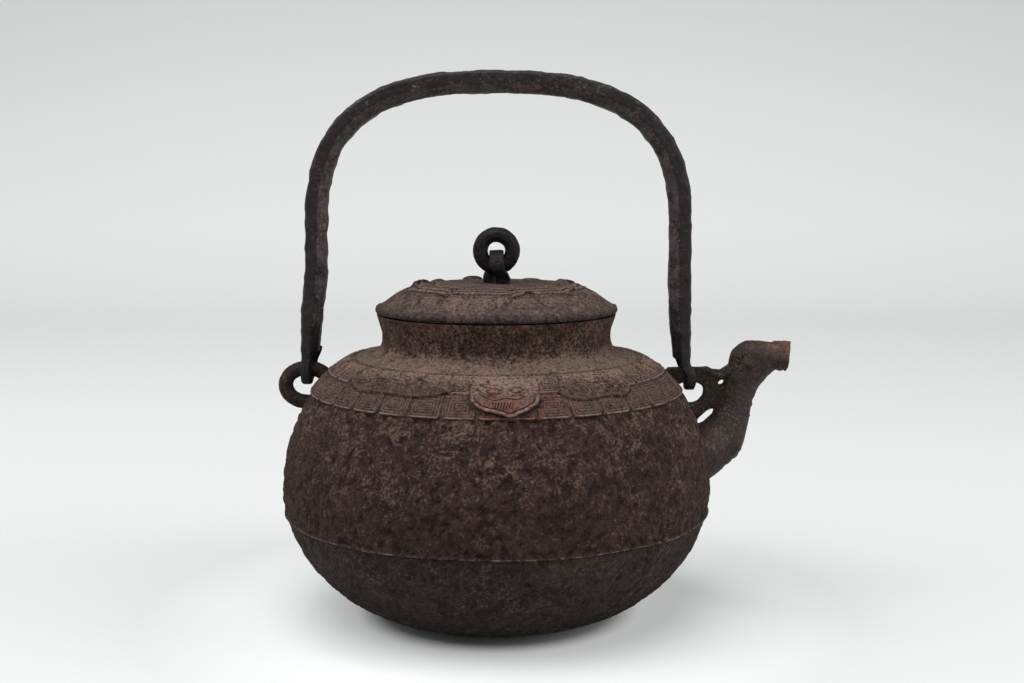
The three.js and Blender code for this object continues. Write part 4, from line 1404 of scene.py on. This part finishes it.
def make_camera():
    data = bpy.data.cameras.new("camera")
    data.lens = FOCAL_LENGTH
    data.sensor_width = SENSOR_WIDTH
    camera = bpy.data.objects.new("camera", data)
    camera.location = CAMERA_PLACE
    camera.rotation_euler = (math.radians(90 - CAMERA_DOWN), 0, 0)
    bpy.context.scene.collection.objects.link(camera)
    bpy.context.scene.camera = camera


def make_world():
    world = bpy.data.worlds.new("studio")
    world.use_nodes = True
    world.node_tree.nodes["Background"].inputs["Color"].default_value = (0.855, 0.862, 0.862, 1)
    world.node_tree.nodes["Background"].inputs["Strength"].default_value = 0.42
    bpy.context.scene.world = world


bpy.context.scene.view_settings.view_transform = "Standard"
make_camera()
make_world()
make_stage()
make_light("front_top_soft_box", (-0.3, -0.38, 1.5), (0, 0, 0.08), (1.5, 1.3), 25)
make_light("left_soft_box", (-1.4, -0.2, 0.9), (0, 0, 0.1), (1.0, 1.0), 5)
make_light("right_soft_box", (1.4, -0.4, 0.7), (0, 0, 0.08), (0.9, 0.9), 11)

old_iron = iron_skin_group()
# Dust Amount rises towards the shoulder: partly dust, partly painted top light, since the shoulder catches more
# light from above.
body_iron = iron(
    "body_iron", old_iron, WARM_BROWN, raised=True, relief=1.0,
    by_height={
        "Dust Amount": [(55, 92, 0.1, 0.36), (99, 108, 1.0, 3.0), (111, 116, 1.0, 0.42)],
        "Rust Amount": [(115, 125, 0.1, 0.55)],
    },
    low_skin=(GREY_BROWN, SEAM_HEIGHT - 3, SEAM_HEIGHT + 3),
)
band_iron = iron(
    "band_iron", old_iron, PINK_BROWN, pit_and_shade=(0.012, 0.0075, 0.0065), raised=True, rust=0.22, relief=0.4,
    by_height={"Dust Amount": [(101, 109, 0.12, 0.9)]},
    tint=((0.185, 0.075, 0.058), [("X", -26, 6), ("X", 34, 18), ("Y", -58, -68), ("Z", 106, 100)]),
)
lid_iron = iron(
    "lid_iron", old_iron, (0.090, 0.060, 0.053), raised=True, rust=0.06, relief=0.8,
    by_height={"Dust Amount": [(130, 138, 0.25, 0.58)]},
)
spout_iron = iron(
    "spout_iron", old_iron, (0.043, 0.026, 0.0215), raised=True, dust=0.16, rust=0.14, relief=0.6,
    tint=((0.230, 0.090, 0.050), [("X", 109, 117), ("Z", 107, 113)]),
    roughness=(0.42, 0.75), specular=0.3,
)
lug_iron = iron(
    "lug_iron", old_iron, (0.042, 0.029, 0.025), dust=0.2, rust=0.06, relief=0.6, roughness=(0.5, 0.85),
)
# The handle's worn colour is a painted reflection of the pale floor on the inner facets of its top.
handle_iron = iron(
    "handle_iron", old_iron, MAROON, pit_and_shade=(0.006, 0.004, 0.0045), worn=(0.075, 0.060, 0.060), raised=True,
    by_height={"Dust Amount": [(185, 222, 0.0, 0.2)]},
    rust=0.05, grain=700.0, relief=0.4, roughness=(0.38, 0.66), metallic=0.2, specular=0.36,
)
knob_iron = iron(
    "knob_iron", old_iron, NEAR_BLACK, pit_and_shade=(0.0035, 0.003, 0.0035), dust=0.0, rust=0.0, grain=700.0,
    relief=0.35, roughness=(0.36, 0.64), metallic=0.2, specular=0.22,
)

make_body(body_iron)
make_band(band_iron)
make_mask("front_mask", MASK_TURN, band_iron)
make_mask("back_mask", MASK_TURN + 180, band_iron)
make_lid(lid_iron)
make_spout(spout_iron)
make_left_lug(lug_iron)
make_right_lug(lug_iron)
make_handle(handle_iron)
make_knob(knob_iron)
